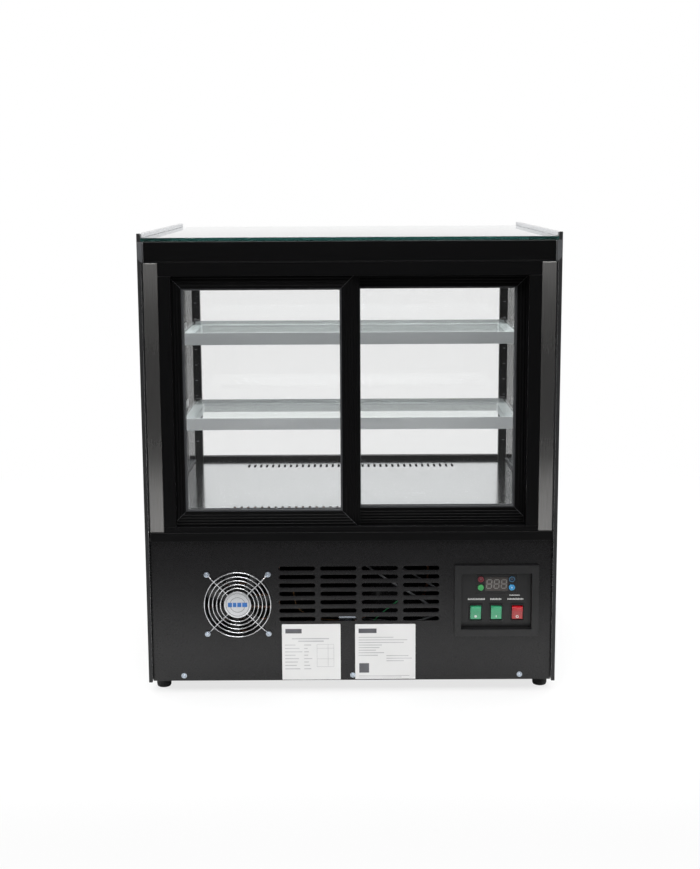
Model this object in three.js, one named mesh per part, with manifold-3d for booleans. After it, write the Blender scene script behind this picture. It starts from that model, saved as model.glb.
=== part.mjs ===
// Countertop bakery display case: a refrigerated glass box on a black base.
// Millimetres, +Z up. The origin is on the floor under the middle of the case.
// -Y is the service side, with the sliding doors, and +Y is the customer side.

import * as THREE from 'three';
import { mergeVertices } from 'three/addons/utils/BufferGeometryUtils.js';
import Module from 'manifold-3d';

const wasm = await Module();
wasm.setup();

// ---- Driving dimensions ----

const WIDTH = 700;
const DEPTH = 620;
const HEIGHT = 790;
const GAP = 0.3;

const SIDE_GLASS = 6;
const PANE = 4.5;
const SHEET = 2;
const BASE_BOTTOM = 21;
const BASE_TOP = 270;
const BASE_Y = [-299.5, 299.5];
const WELL_BOTTOM = 236;
const WELL_WALL = 14;
const SILL = 286.5;
const SILL_LIP = 295.4;
const DECK_TOP = 300;
const FRONT_SILL_TOP = 308.5;
const RAIL_BOTTOM = 719.6;
const RAIL_TOP = 742;
const TOP_GLASS = [776.5, 783];

const POST_X = [317.3, 341];
const JAMB_X = [296.6, 317];
const CHAMBER_X = 325;
const CORNER_POST_X = [308.4, 324.7];
const FRONT_Y = 300;
const CORNER_POST_BACK = 284;
const REAR_FACE = -308;
const REAR_FRAME_BACK = -289;
const TRACK_BACK = -244;
const CHAMBER_Y = [-243.5, 283.5];

const DOOR_WIDTH = 327;
const DOOR_Z = [289.2, 729];
const DOOR_THICK = 20;
const DOOR_FRAME = 30;
const DOOR_PANE = 12;
const DOOR_OUTER = 311;
const OUTER_TRACK_Y = -295;
const INNER_TRACK_Y = -271;

const SHELF_X = 315;
const SHELF_Y = [-22, 220];
const SHELF_RAIL = [20, 16];
const SHELF_GLASS = 6.5;
const SHELF_BRACKET_X = [311.5, 314.5];
const SHELF_BOTTOMS = { upper: 575, lower: 415 };

const SLOT_ROWS_Y = [-179, 220];
const SLOTS_PER_ROW = 35;
const SLOT_PITCH = 12.2;
const SLOT_SIZE = [4.5, 32];

const PANEL_Y = -302;
const LOUVRE = { first: -92.9, columns: 4, pitch: 70.8, top: 221, rows: 7, step: 14.9, size: [62, 7.5] };

const FAN = { x: -195, z: 159, size: 119, depth: 25, bore: 57.5, hub: 21, holes: 105 };
const BLADES = { count: 7, halfLength: 8, thickness: 2, pitch: 52 };
const GUARD_RINGS = [56.9, 49.5, 42.7, 35.9, 29.4];
const GUARD_HUB = 23.2;
const GUARD_WIRE = 2;
const GUARD_STAND_OFF = 4;
const COLD_FAN = { x: 0, y: -120, z: 253, size: 92, depth: 25, bore: 43, hub: 17 };

const CONTROL = { x: [176.6, 320.7], z: [101, 226], openX: [188, 309], openZ: [113, 212] };
const CONTROL_FACE = -294;
const CONTROLLER = { x: [214, 284], z: [173.5, 207] };
const DISPLAY_X = [230, 269];
const DISPLAY_Z = [178, 202];
const BUTTON_R = 5.2;
const BUTTONS = {
  button_up: [222.4, 198.5],
  button_set: [222.4, 183.8],
  button_down: [275.8, 198.5],
  button_power: [275.8, 183.8],
};
const SWITCH_Z = 139.6;
const SWITCHES = { light_rocker: 213.8, fan_rocker: 249.3, power_rocker: 285.6 };
const BEZEL = [24, 31];
const BEZEL_POCKET = [19.8, 26];
const ROCKER_WIDTH = 18.4;
const ROCKER_REST = THREE.MathUtils.degToRad(10);

const FOOT = { x: 330, y: 262, top: 20.7 };
const COMPRESSOR = { x: 72, y: -150, r: 58, top: 196, seam: 82 };
const CONDENSER = { halfWidth: 66, y: [-262, -214], low: 40, high: 190 };
const GLAND = { x: -230, y: 250, r: 9, nut: 13, length: 10.7 };

// ---- Finishes ----

const FINISHES = {
  blackSteel: [0x2b2b2d, 0.5, 0.2],
  blackTrim: [0x121213, 0.4, 0.1],
  blackPlastic: [0x1c1d1e, 0.6, 0],
  brushedSteel: [0x9a9795, 0.35, 1],
  deckSteel: [0xc4c8ca, 0.25, 1],
  shelfSteel: [0x9da2a5, 0.35, 1],
  chrome: [0xdadde0, 0.12, 1],
  aluminium: [0xb9bcc0, 0.4, 0.9],
  glass: [0xcfe4dd, 0.05, 0],
  edgeGlass: [0x1d3b36, 0.08, 0],
  sideGlass: [0x30363a, 0.06, 0],
  wellLiner: [0x1f2123, 0.5, 0],
  rubber: [0x151515, 0.85, 0],
  fanPlastic: [0x18191a, 0.55, 0],
  compressorPaint: [0x16171a, 0.35, 0.3],
  lamp: [0xf4f4ef, 0.4, 0],
  display: [0x26231f, 0.3, 0],
  green: [0x2fa566, 0.3, 0],
  red: [0xc11827, 0.3, 0],
  darkRed: [0x7c2530, 0.4, 0],
  navy: [0x16334a, 0.4, 0],
  blue: [0x2a93cf, 0.35, 0],
};

function finish(name) {
  const [color, roughness, metalness] = FINISHES[name];
  return new THREE.MeshStandardMaterial({ color, roughness, metalness });
}

const group = new THREE.Group();

function add(name, geometry, finishName) {
  const mesh = new THREE.Mesh(geometry, finish(finishName));
  mesh.name = name;
  group.add(mesh);
  return mesh;
}

// ---- Shapes ----

const SIDES = { left: -1, right: 1 };

// A span measured outwards from the middle, on the given side.
function onSide(sign, inner, outer) {
  return [sign * inner, sign * outer].sort((a, b) => a - b);
}

// A span made narrower by the same amount at both ends.
function inset([low, high], amount) {
  return [low + amount, high - amount];
}

function block([x0, x1], [y0, y1], [z0, z1]) {
  const geometry = new THREE.BoxGeometry(x1 - x0, y1 - y0, z1 - z0);
  return geometry.translate((x0 + x1) / 2, (y0 + y1) / 2, (z0 + z1) / 2);
}

function outline(points) {
  return new THREE.Shape(points.map(([u, v]) => new THREE.Vector2(u, v)));
}

function extrude(shape, length) {
  return new THREE.ExtrudeGeometry(shape, { depth: length, bevelEnabled: false, curveSegments: 5 });
}

// A (Y, Z) section drawn out along X.
function alongX(shape, [x0, x1]) {
  const turn = new THREE.Matrix4().makeBasis(
    new THREE.Vector3(0, 1, 0),
    new THREE.Vector3(0, 0, 1),
    new THREE.Vector3(1, 0, 0),
  );
  return extrude(shape, x1 - x0).applyMatrix4(turn).translate(x0, 0, 0);
}

// An (X, Z) outline drawn out along Y.
function alongY(shape, [y0, y1]) {
  return extrude(shape, y1 - y0).rotateX(Math.PI / 2).translate(0, y1, 0);
}

// An (X, Y) section drawn out along Z.
function alongZ(shape, [z0, z1]) {
  return extrude(shape, z1 - z0).translate(0, 0, z0);
}

function rectangle([u0, u1], [v0, v1]) {
  return outline([[u0, v0], [u1, v0], [u1, v1], [u0, v1]]);
}

function circle(u, v, r, sides) {
  const turn = (Math.PI * 2) / sides;
  const corner = (_, i) => [u + r * Math.cos(i * turn), v + r * Math.sin(i * turn)];
  return outline(Array.from({ length: sides }, corner));
}

// A slot with round ends, its length along u.
function roundSlot(u, v, [length, height]) {
  const r = height / 2;
  const reach = length / 2 - r;
  const slot = new THREE.Shape();
  slot.absarc(u + reach, v, r, -Math.PI / 2, Math.PI / 2, false);
  slot.absarc(u - reach, v, r, Math.PI / 2, Math.PI * 1.5, false);
  return slot;
}

function solid(geometry) {
  const bare = new THREE.BufferGeometry();
  bare.setAttribute('position', geometry.getAttribute('position').clone());
  if (geometry.index) bare.setIndex(geometry.index.clone());
  const merged = mergeVertices(bare, 1e-4);
  const vertProperties = new Float32Array(merged.getAttribute('position').array);
  const triVerts = new Uint32Array(merged.index.array);
  return new wasm.Manifold(new wasm.Mesh({ numProp: 3, vertProperties, triVerts }));
}

function geometryOf(manifold) {
  const mesh = manifold.getMesh();
  const geometry = new THREE.BufferGeometry();
  geometry.setAttribute('position', new THREE.BufferAttribute(new Float32Array(mesh.vertProperties), 3));
  geometry.setIndex(new THREE.BufferAttribute(new Uint32Array(mesh.triVerts), 1));
  geometry.computeVertexNormals();
  return geometry;
}

function join(...geometries) {
  const [first, ...rest] = geometries.map(solid);
  return geometryOf(rest.reduce((whole, piece) => whole.add(piece), first));
}

function cut(geometry, ...tools) {
  const whole = solid(geometry);
  return geometryOf(tools.map(solid).reduce((rest, tool) => rest.subtract(tool), whole));
}

// A round solid on a vertical axis through the origin, from [radius, height] points.
function turned(points, segments) {
  const profile = points.map(([r, z]) => new THREE.Vector2(r, z));
  return new THREE.LatheGeometry(profile, segments).rotateX(Math.PI / 2);
}

function ring(r, wire, [z0, z1], segments) {
  const inner = r - wire / 2;
  const outer = r + wire / 2;
  return turned([[inner, z0], [outer, z0], [outer, z1], [inner, z1], [inner, z0]], segments);
}

function disc(r, [z0, z1], segments) {
  return turned([[0, z0], [r, z0], [r, z1], [0, z1]], segments);
}

// ---- Base: chassis, feet and panels ----

const half = WIDTH / 2;
const sideInner = half - SIDE_GLASS;
const chassisX = sideInner - 0.7;

function makeBase() {
  const wallX = chassisX - SHEET;
  const floor = block([-chassisX, chassisX], BASE_Y, [BASE_BOTTOM, BASE_BOTTOM + SHEET]);
  const walls = Object.values(SIDES).map((sign) =>
    block(onSide(sign, wallX, chassisX), BASE_Y, [BASE_BOTTOM, BASE_TOP - GAP]),
  );
  add('base_chassis', join(floor, ...walls), 'blackSteel');

  const footProfile = [[0, 0], [11, 0], [13, 3], [13.5, FOOT.top], [0, FOOT.top]];
  for (const [sideName, sign] of Object.entries(SIDES)) {
    for (const [endName, end] of [['rear', -1], ['front', 1]]) {
      const foot = add(`foot_${endName}_${sideName}`, turned(footProfile, 20), 'rubber');
      foot.position.set(sign * FOOT.x, end * FOOT.y, 0);
    }
  }

  const panelX = chassisX - 1.8;
  const panel = rectangle([-panelX, panelX], [BASE_BOTTOM + 1.6, BASE_TOP - GAP]);
  panel.holes.push(circle(FAN.x, FAN.z, FAN.bore, 32));
  panel.holes.push(rectangle(inset(CONTROL.x, 6), inset(CONTROL.z, 6)));
  for (let column = 0; column < LOUVRE.columns; column += 1) {
    for (let row = 0; row < LOUVRE.rows; row += 1) {
      const u = LOUVRE.first + column * LOUVRE.pitch;
      const v = LOUVRE.top - row * LOUVRE.step;
      panel.holes.push(roundSlot(u, v, LOUVRE.size));
    }
  }
  add('rear_service_panel', alongY(panel, [PANEL_Y, PANEL_Y + SHEET]), 'blackSteel');
  const frontSpan = [FRONT_Y, FRONT_Y + 3];
  add('front_lower_panel', block([-chassisX, chassisX], frontSpan, [BASE_BOTTOM, SILL - GAP]), 'blackSteel');
}

// ---- Insulated well and deck ----

function makeWell() {
  const wellX = chassisX - SHEET - 0.5;
  const deckX = CHAMBER_X - 0.5;
  const deckZ = [DECK_TOP - 1.5, DECK_TOP];
  const body = block([-wellX, wellX], [REAR_FRAME_BACK - 0.5, BASE_Y[1]], [WELL_BOTTOM, SILL - GAP]);
  const collar = block([-deckX, deckX], CHAMBER_Y, [SILL - 10, deckZ[0] - GAP]);
  const wellFloor = WELL_BOTTOM + WELL_WALL;
  const cavity = block([-300, 300], [-215, 262], [wellFloor, DECK_TOP + 10]);
  add('insulated_well', cut(join(body, collar), cavity), 'wellLiner');

  const deck = block([-deckX, deckX], CHAMBER_Y, deckZ);
  const first = (-(SLOTS_PER_ROW - 1) * SLOT_PITCH) / 2;
  const [halfWide, halfLong] = SLOT_SIZE.map((size) => size / 2);
  const slots = SLOT_ROWS_Y.flatMap((y) =>
    Array.from({ length: SLOTS_PER_ROW }, (_, i) => {
      const x = first + i * SLOT_PITCH;
      return block([x - halfWide, x + halfWide], [y - halfLong, y + halfLong], inset(deckZ, -5));
    }),
  );
  add('deck_tray', cut(deck, ...slots), 'deckSteel');

  const finsX = 220;
  const finsY = [-10, 110];
  const fins = block([-finsX, finsX], finsY, [wellFloor + 2, DECK_TOP - 10]);
  const plates = Object.values(SIDES).map((sign) =>
    block(onSide(sign, finsX - 2, finsX + 4), inset(finsY, -6), [wellFloor + 0.5, DECK_TOP - 6]),
  );
  add('evaporator_coil', join(fins, ...plates), 'aluminium');
}

// ---- Fans ----

// An axial fan body around a vertical axis: square housing, round bore, motor on four struts.
function fanHousing({ size, depth, bore, hub }) {
  const side = [-size / 2, size / 2];
  const shell = rectangle(side, side);
  shell.holes.push(circle(0, 0, bore, 32));
  const strutZ = [0, 3];
  const struts = [1, 3].map((eighth) =>
    block([-bore - 1, bore + 1], [-3, 3], strutZ).rotateZ((eighth * Math.PI) / 4),
  );
  return join(alongZ(shell, [0, depth]), ...struts, disc(hub, strutZ, 24));
}

// Hub and pitched blades, clear of the struts below and the bore around.
function fanRotor({ depth, bore, hub }) {
  const { count, halfLength, thickness, pitch } = BLADES;
  const pieces = Array.from({ length: count }, (_, i) => {
    const blade = block([hub - 3, bore - 2], [-thickness / 2, thickness / 2], [-halfLength, halfLength]);
    blade.rotateX(THREE.MathUtils.degToRad(pitch));
    return blade.translate(0, 0, depth / 2 + 1.5).rotateZ((i * Math.PI * 2) / count);
  });
  return join(disc(hub, [4, depth - 1.5], 24), ...pieces);
}

function makeFans() {
  const fanBack = PANEL_Y + SHEET + GAP + FAN.depth;
  for (const [name, shape, colour] of [
    ['condenser_fan_frame', fanHousing(FAN), 'fanPlastic'],
    ['condenser_fan_rotor', fanRotor(FAN), 'fanPlastic'],
  ]) {
    const mesh = add(name, shape, colour);
    mesh.rotation.x = Math.PI / 2;
    mesh.position.set(FAN.x, fanBack, FAN.z);
  }

  const wire = GUARD_WIRE;
  const ringBase = 1.4;
  const rings = GUARD_RINGS.map((r) => ring(r, wire, [ringBase, ringBase + wire], 24));
  const reach = FAN.holes / Math.SQRT2;
  const spokes = [1, -1].map((way) =>
    block([-reach, reach], [-wire / 2, wire / 2], [0, wire]).rotateZ((way * Math.PI) / 4),
  );
  const eyelets = [1, 3, 5, 7].map((eighth) =>
    disc(5, [GAP - GUARD_STAND_OFF, wire - GAP], 10).translate(reach, 0, 0).rotateZ((eighth * Math.PI) / 4),
  );
  const hub = disc(GUARD_HUB, [0.4, ringBase + wire - 0.4], 24);
  const guard = add('condenser_fan_guard', join(hub, ...rings, ...spokes, ...eyelets), 'chrome');
  guard.rotation.x = Math.PI / 2;
  guard.position.set(FAN.x, PANEL_Y - GUARD_STAND_OFF, FAN.z);

  const coldFrame = add('evaporator_fan_frame', fanHousing(COLD_FAN), 'fanPlastic');
  coldFrame.position.set(COLD_FAN.x, COLD_FAN.y, COLD_FAN.z);
  const coldRotor = add('evaporator_fan_rotor', fanRotor(COLD_FAN), 'fanPlastic');
  coldRotor.position.set(COLD_FAN.x, COLD_FAN.y, COLD_FAN.z);
}

// ---- Cooling machine in the base ----

function makeMachine() {
  const { x, y, r, top, seam } = COMPRESSOR;
  const floor = BASE_BOTTOM + SHEET + GAP;
  const lowerHalf = [[0, 12], [r * 0.8, 12], [r, 28], [r, seam - 2], [r + 3, seam]];
  const dome = [[r, seam + 4], [r * 0.93, seam + 48], [r * 0.6, seam + 80], [0, top - floor]];
  const shell = turned([...lowerHalf, ...dome], 24);
  const plate = block([-r - 10, r + 10], inset([-r, r], 8), [0, 14]);
  const terminals = block([-r - 22, -r + 12], [-24, 24], [seam - 37, seam + 17]);
  const compressor = add('compressor', join(shell, plate, terminals), 'compressorPaint');
  compressor.position.set(x, y, floor);

  const coilX = [FAN.x - CONDENSER.halfWidth, FAN.x + CONDENSER.halfWidth];
  const fins = block(coilX, CONDENSER.y, [floor + CONDENSER.low, floor + CONDENSER.high]);
  const shroud = coilX.map((edge) =>
    block([edge - 3, edge + 3], inset(CONDENSER.y, -4), [floor, floor + CONDENSER.high + 6]),
  );
  add('condenser_coil', join(fins, ...shroud), 'aluminium');

  const { r: thread, nut, length } = GLAND;
  const glandProfile = [[0, 0], [thread, 0], [thread, 7], [nut, 7], [nut, length], [0, length]];
  const gland = add('cable_gland', turned(glandProfile, 16), 'blackPlastic');
  gland.position.set(GLAND.x, GLAND.y, BASE_BOTTOM - GAP - length);
}

// ---- Side walls, glass and posts ----

function makeShell() {
  for (const [sideName, sign] of Object.entries(SIDES)) {
    const outerSpan = onSide(sign, sideInner, half);
    const fullDepth = [-DEPTH / 2, DEPTH / 2];
    add(`side_glass_${sideName}`, block(outerSpan, fullDepth, [BASE_BOTTOM, HEIGHT]), 'sideGlass');

    const innerSpan = onSide(sign, CHAMBER_X, CHAMBER_X + PANE);
    const innerY = [REAR_FRAME_BACK + 0.5, FRONT_Y - GAP];
    const innerPane = block(innerSpan, innerY, [SILL, TOP_GLASS[0] - GAP]);
    add(`side_inner_pane_${sideName}`, innerPane, 'glass');

    const steelPost = block(onSide(sign, ...POST_X), [REAR_FACE, REAR_FRAME_BACK], [SILL, RAIL_TOP - GAP]);
    add(`rear_post_${sideName}`, steelPost, 'brushedSteel');

    const cornerY = [CORNER_POST_BACK, FRONT_Y - GAP];
    const cornerPost = block(onSide(sign, ...CORNER_POST_X), cornerY, [SILL, TOP_GLASS[0] - GAP]);
    add(`front_corner_post_${sideName}`, cornerPost, 'blackTrim');
  }

  const inner = sideInner - GAP;
  add('top_glass', block([-inner, inner], [-DEPTH / 2, DEPTH / 2 - 1], TOP_GLASS), 'edgeGlass');
  const frontPane = block([-inner, inner], [FRONT_Y, FRONT_Y + SIDE_GLASS], [SILL, TOP_GLASS[0] - GAP]);
  add('front_glass', frontPane, 'glass');
  const sillX = CORNER_POST_X[0] - GAP;
  const sillBar = block([-sillX, sillX], [CORNER_POST_BACK, FRONT_Y - GAP], [SILL, FRONT_SILL_TOP]);
  add('front_sill', sillBar, 'blackTrim');
}

// ---- Door opening: header, tracks and jambs ----

// A track section with two channels, its lips rising from a web. Heights count from the web's outer face.
function trackSection(web, lip, flip) {
  const outer = [REAR_FACE, OUTER_TRACK_Y - 1.5];
  const middle = [OUTER_TRACK_Y + DOOR_THICK + 1, INNER_TRACK_Y - 1];
  const inner = [INNER_TRACK_Y + DOOR_THICK + 1.5, TRACK_BACK];
  const points = [
    [outer[0], 0], [inner[1], 0], [inner[1], lip], [inner[0], lip], [inner[0], web],
    [middle[1], web], [middle[1], lip], [middle[0], lip], [middle[0], web],
    [outer[1], web], [outer[1], lip], [outer[0], lip],
  ];
  return points.map(([y, h]) => [y, h * flip]);
}

function makeDoorway() {
  const headerX = POST_X[1] - 1.5;
  const headerZ = [RAIL_TOP + GAP, TOP_GLASS[0] - GAP];
  add('header_bar', block([-headerX, headerX], [REAR_FACE, REAR_FRAME_BACK], headerZ), 'blackTrim');
  const sillX = sideInner - 2;
  const sillY = [REAR_FACE - 1.5, REAR_FRAME_BACK - 1];
  add('sill_trim', block([-sillX, sillX], sillY, [BASE_TOP + GAP, SILL - GAP]), 'blackTrim');

  const trackX = [-JAMB_X[1], JAMB_X[1]];
  const bottom = trackSection(1.2, SILL_LIP - SILL, 1);
  const bottomTrack = alongX(outline(bottom), trackX).translate(0, 0, SILL);
  add('bottom_track', bottomTrack, 'blackTrim');

  const top = trackSection(5, RAIL_TOP - RAIL_BOTTOM, -1).reverse();
  add('top_track', alongX(outline(top), trackX).translate(0, 0, RAIL_TOP), 'blackTrim');

  const reach = JAMB_X[1] - JAMB_X[0];
  for (const [sideName, sign] of Object.entries(SIDES)) {
    const points = trackSection(2.6, reach, -1).map(([y, h]) => [sign * (JAMB_X[1] + h), y]);
    const section = outline(sign > 0 ? points : points.reverse());
    add(`jamb_${sideName}`, alongZ(section, [SILL_LIP + GAP, RAIL_BOTTOM - GAP]), 'blackTrim');
  }

  const lampX = JAMB_X[0] + 2;
  const lampBody = block([-lampX, lampX], [-286, -262], [RAIL_TOP + GAP, RAIL_TOP + 14]);
  add('light_bar', lampBody, 'lamp');
}

// ---- Sliding doors: four mitred members round a double-glazed pane ----

function makeDoor(name, x0, yNear) {
  const x1 = x0 + DOOR_WIDTH;
  const [z0, z1] = DOOR_Z;
  const depth = [yNear, yNear + DOOR_THICK];
  const w = DOOR_FRAME;
  const g = 0.25;
  const rebate = 8;
  const cheek = (DOOR_THICK - DOOR_PANE) / 2;
  const paneBox = (grow) =>
    block(
      inset([x0, x1], w - rebate - grow),
      inset(depth, cheek - grow),
      inset(DOOR_Z, w - rebate - grow),
    );
  const groove = paneBox(GAP);
  const members = {
    stile_left: [[x0, z0 + g], [x0 + w, z0 + w + g], [x0 + w, z1 - w - g], [x0, z1 - g]],
    stile_right: [[x1, z1 - g], [x1 - w, z1 - w - g], [x1 - w, z0 + w + g], [x1, z0 + g]],
    rail_bottom: [[x0 + g, z0], [x1 - g, z0], [x1 - w - g, z0 + w], [x0 + w + g, z0 + w]],
    rail_top: [[x1 - g, z1], [x0 + g, z1], [x0 + w + g, z1 - w], [x1 - w - g, z1 - w]],
  };
  for (const [member, points] of Object.entries(members)) {
    add(`${name}_${member}`, cut(alongY(outline(points), depth), groove), 'blackTrim');
  }
  add(`${name}_pane`, paneBox(0), 'glass');
}

// ---- Shelves ----

function makeShelf(name, bottom) {
  const [railWide, railHigh] = SHELF_RAIL;
  const [y0, y1] = SHELF_Y;
  const top = bottom + railHigh;
  const outer = block([-SHELF_X, SHELF_X], [y0, y1], [bottom, top]);
  const inner = block(
    inset([-SHELF_X, SHELF_X], railWide),
    inset(SHELF_Y, railWide),
    inset([bottom, top], -1),
  );
  const lip = block([-SHELF_X, SHELF_X], [y0, y0 + 1.5], [bottom, top + SHELF_GLASS + GAP]);
  const brackets = Object.values(SIDES).map((sign) =>
    block(onSide(sign, ...SHELF_BRACKET_X), [y1 - 30, CORNER_POST_BACK - GAP], inset([bottom, top], 2)),
  );
  add(`${name}_shelf_frame`, join(cut(outer, inner), lip, ...brackets), 'shelfSteel');
  const glassZ = [top + GAP, top + GAP + SHELF_GLASS];
  add(`${name}_shelf_glass`, block([-SHELF_X, SHELF_X], [y0 + 1.8, y1], glassZ), 'glass');
}

// ---- Control panel ----

// A rocker seen from its side: two shallow faces that meet in a valley, with round ends
// about the pivot. First value outwards, second value up, both from the pivot.
function rockerShape() {
  const faceEnd = 5;
  const reach = 10.9;
  const valley = 3;
  const back = -4;
  const r = Math.hypot(faceEnd, reach);
  const start = Math.atan2(faceEnd, reach);
  const low = Math.asin(back / r);
  const steps = 4;
  const upperEnd = Array.from({ length: steps + 1 }, (_, i) => {
    const angle = low + ((start - low) * i) / steps;
    return [-r * Math.sin(angle), r * Math.cos(angle)];
  });
  const lowerEnd = upperEnd.map(([y, z]) => [y, -z]).reverse();
  return outline([[-valley, 0], ...lowerEnd, ...upperEnd]);
}

function makeControls() {
  const { x, z, openX, openZ } = CONTROL;
  const flange = block(x, [PANEL_Y - 6, PANEL_Y - GAP], z);
  const sleeve = block(inset(x, 7), [PANEL_Y - 1, CONTROL_FACE + 8], inset(z, 7));
  const opening = block(openX, [PANEL_Y - 10, CONTROL_FACE + 20], openZ);
  add('control_frame', cut(join(flange, sleeve), opening), 'blackPlastic');

  const sheet = block(inset(openX, GAP), [CONTROL_FACE, CONTROL_FACE + 3], inset(openZ, GAP));
  const atSwitches = ([wide, high], depth) =>
    Object.values(SWITCHES).map((u) =>
      block([u - wide / 2, u + wide / 2], depth, [SWITCH_Z - high / 2, SWITCH_Z + high / 2]),
    );
  const bezels = atSwitches(BEZEL, [CONTROL_FACE - 2.5, CONTROL_FACE + 14]);
  const pockets = atSwitches(BEZEL_POCKET, [CONTROL_FACE - 5, CONTROL_FACE + 11]);
  const window = block(CONTROLLER.x, [CONTROL_FACE - 5, CONTROL_FACE + 10], CONTROLLER.z);
  add('control_plate', cut(join(sheet, ...bezels), ...pockets, window), 'blackPlastic');

  const module = block(inset(CONTROLLER.x, GAP), [CONTROL_FACE, CONTROL_FACE + 18], inset(CONTROLLER.z, GAP));
  const lens = block(DISPLAY_X, [CONTROL_FACE - 0.6, CONTROL_FACE + 2], DISPLAY_Z);
  const wells = Object.values(BUTTONS).map(([u, v]) =>
    alongY(circle(u, v, BUTTON_R + 0.4, 20), [CONTROL_FACE - 3, CONTROL_FACE + 4]),
  );
  add('temperature_controller', cut(join(module, lens), ...wells), 'display');

  const caps = { button_up: 'darkRed', button_set: 'green', button_down: 'navy', button_power: 'blue' };
  for (const [name, [u, v]] of Object.entries(BUTTONS)) {
    const cap = alongY(circle(0, 0, BUTTON_R, 20), [CONTROL_FACE - 1.6, CONTROL_FACE + 2.6]);
    add(name, cap, caps[name]).position.set(u, 0, v);
  }

  const rockers = { light_rocker: 'green', fan_rocker: 'green', power_rocker: 'red' };
  for (const [name, u] of Object.entries(SWITCHES)) {
    const rocker = alongX(rockerShape(), [-ROCKER_WIDTH / 2, ROCKER_WIDTH / 2]);
    const mesh = add(name, rocker, rockers[name]);
    mesh.position.set(u, CONTROL_FACE + 1, SWITCH_Z);
    mesh.rotation.x = ROCKER_REST;
  }
}

makeBase();
makeWell();
makeFans();
makeMachine();
makeShell();
makeDoorway();
makeDoor('door_left', -DOOR_OUTER, OUTER_TRACK_Y);
makeDoor('door_right', DOOR_OUTER - DOOR_WIDTH, INNER_TRACK_Y);
for (const [name, bottom] of Object.entries(SHELF_BOTTOMS)) {
  makeShelf(name, bottom);
}
makeControls();

export default group;
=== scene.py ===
# %% [markdown]
# # A countertop bakery display case
# The case is a double glazed box on a black steel base. The base holds the cooling machine, and two
# glass doors slide behind each other on the service side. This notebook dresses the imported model:
# the frame gives every place and size, and each piece gets its finer shape and its finish here.
# Lengths are metres, +Z is up, and the service side looks towards -Y.

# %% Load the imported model
import math

import bmesh
import bpy
from mathutils import Matrix, Vector


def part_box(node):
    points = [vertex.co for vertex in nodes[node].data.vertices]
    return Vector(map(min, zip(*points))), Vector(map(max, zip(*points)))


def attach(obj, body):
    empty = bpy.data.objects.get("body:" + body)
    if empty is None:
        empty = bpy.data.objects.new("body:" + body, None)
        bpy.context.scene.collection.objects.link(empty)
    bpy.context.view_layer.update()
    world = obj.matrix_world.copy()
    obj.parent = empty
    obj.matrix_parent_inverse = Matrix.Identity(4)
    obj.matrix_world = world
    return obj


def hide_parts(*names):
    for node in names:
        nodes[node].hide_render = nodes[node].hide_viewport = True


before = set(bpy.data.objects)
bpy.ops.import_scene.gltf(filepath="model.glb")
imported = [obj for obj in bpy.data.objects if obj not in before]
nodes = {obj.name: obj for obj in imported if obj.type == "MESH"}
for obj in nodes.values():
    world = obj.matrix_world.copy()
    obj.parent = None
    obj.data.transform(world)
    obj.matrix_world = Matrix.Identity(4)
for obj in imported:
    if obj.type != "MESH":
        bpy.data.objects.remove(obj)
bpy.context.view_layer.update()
MM = 0.001


def mm(*values):
    """Millimetres as metres."""
    return tuple(value * MM for value in values)


# %% [markdown]
# ## The camera
# The service side is best seen from about the height of the case's top, from straight behind it,
# with a slightly long lens so that the upright edges stay nearly parallel. The camera could be
# aimed with a Track To constraint. Here its place and pitch are plain numbers, because a roll of
# a third of a degree is part of the aim, and a constraint would level it.

# %% Camera
CAMERA_PLACE = (-0.001, -2.744, 0.870)
CAMERA_PITCH = math.radians(80.31)
CAMERA_ROLL = math.radians(-0.29)

camera_data = bpy.data.cameras.new("service_side_camera")
camera_data.lens = 61.0
camera_data.sensor_width = 36.0
camera = bpy.data.objects.new("service_side_camera", camera_data)
bpy.context.scene.collection.objects.link(camera)
turn = Matrix.Rotation(CAMERA_PITCH, 4, "X") @ Matrix.Rotation(CAMERA_ROLL, 4, "Z")
camera.matrix_world = Matrix.Translation(CAMERA_PLACE) @ turn
bpy.context.scene.camera = camera
print("camera at", CAMERA_PLACE)

# %% [markdown]
# ## Light and floor
# The studio is a white sweep with a soft box overhead. Glass and black metal show mostly what they
# reflect, so what stands round the case matters more than the lamps. A sight line, even one that
# runs through glass, ends on white paper. A reflection ends in the room: white behind and above,
# and dark on the camera's side, which keeps the black profiles black. Cards and black flags would
# do this in a real studio. Light Path's bounce counts do it here, for the world and the floor only.


# %% A small helper that adds a shader node
def add_node(tree, kind, settings=None, **inputs):
    """Adds a node. settings are its properties, and inputs its socket values by socket name."""
    shader_node = tree.nodes.new("ShaderNode" + kind)
    for key, value in (settings or {}).items():
        setattr(shader_node, key, value)
    for key, value in inputs.items():
        shader_node.inputs[key.replace("_", " ")].default_value = value
    return shader_node


def set_ramp(ramp, stops):
    """Sets a Color Ramp from (place, grey or colour) stops."""
    elements = ramp.color_ramp.elements
    while len(elements) < len(stops):
        elements.new(0.5)
    for element, (place, colour) in zip(elements, stops):
        element.position = place
        rgb = (colour,) * 3 if isinstance(colour, (int, float)) else colour
        element.color = (*rgb, 1.0)


# %% World
ROOM_DARK = 0.11
ROOM_WHITE = 1.02


def sight_line(tree):
    """1 for a ray that reaches the camera with no bounce but through glass, else 0."""
    rays = add_node(tree, "LightPath")
    bounces = add_node(tree, "Math", {"operation": "ADD"})
    unbounced = add_node(tree, "Math", {"operation": "LESS_THAN"})
    unbounced.inputs[1].default_value = 0.5
    tree.links.new(rays.outputs["Diffuse Depth"], bounces.inputs[0])
    tree.links.new(rays.outputs["Glossy Depth"], bounces.inputs[1])
    tree.links.new(bounces.outputs["Value"], unbounced.inputs[0])
    return unbounced.outputs["Value"]


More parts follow.
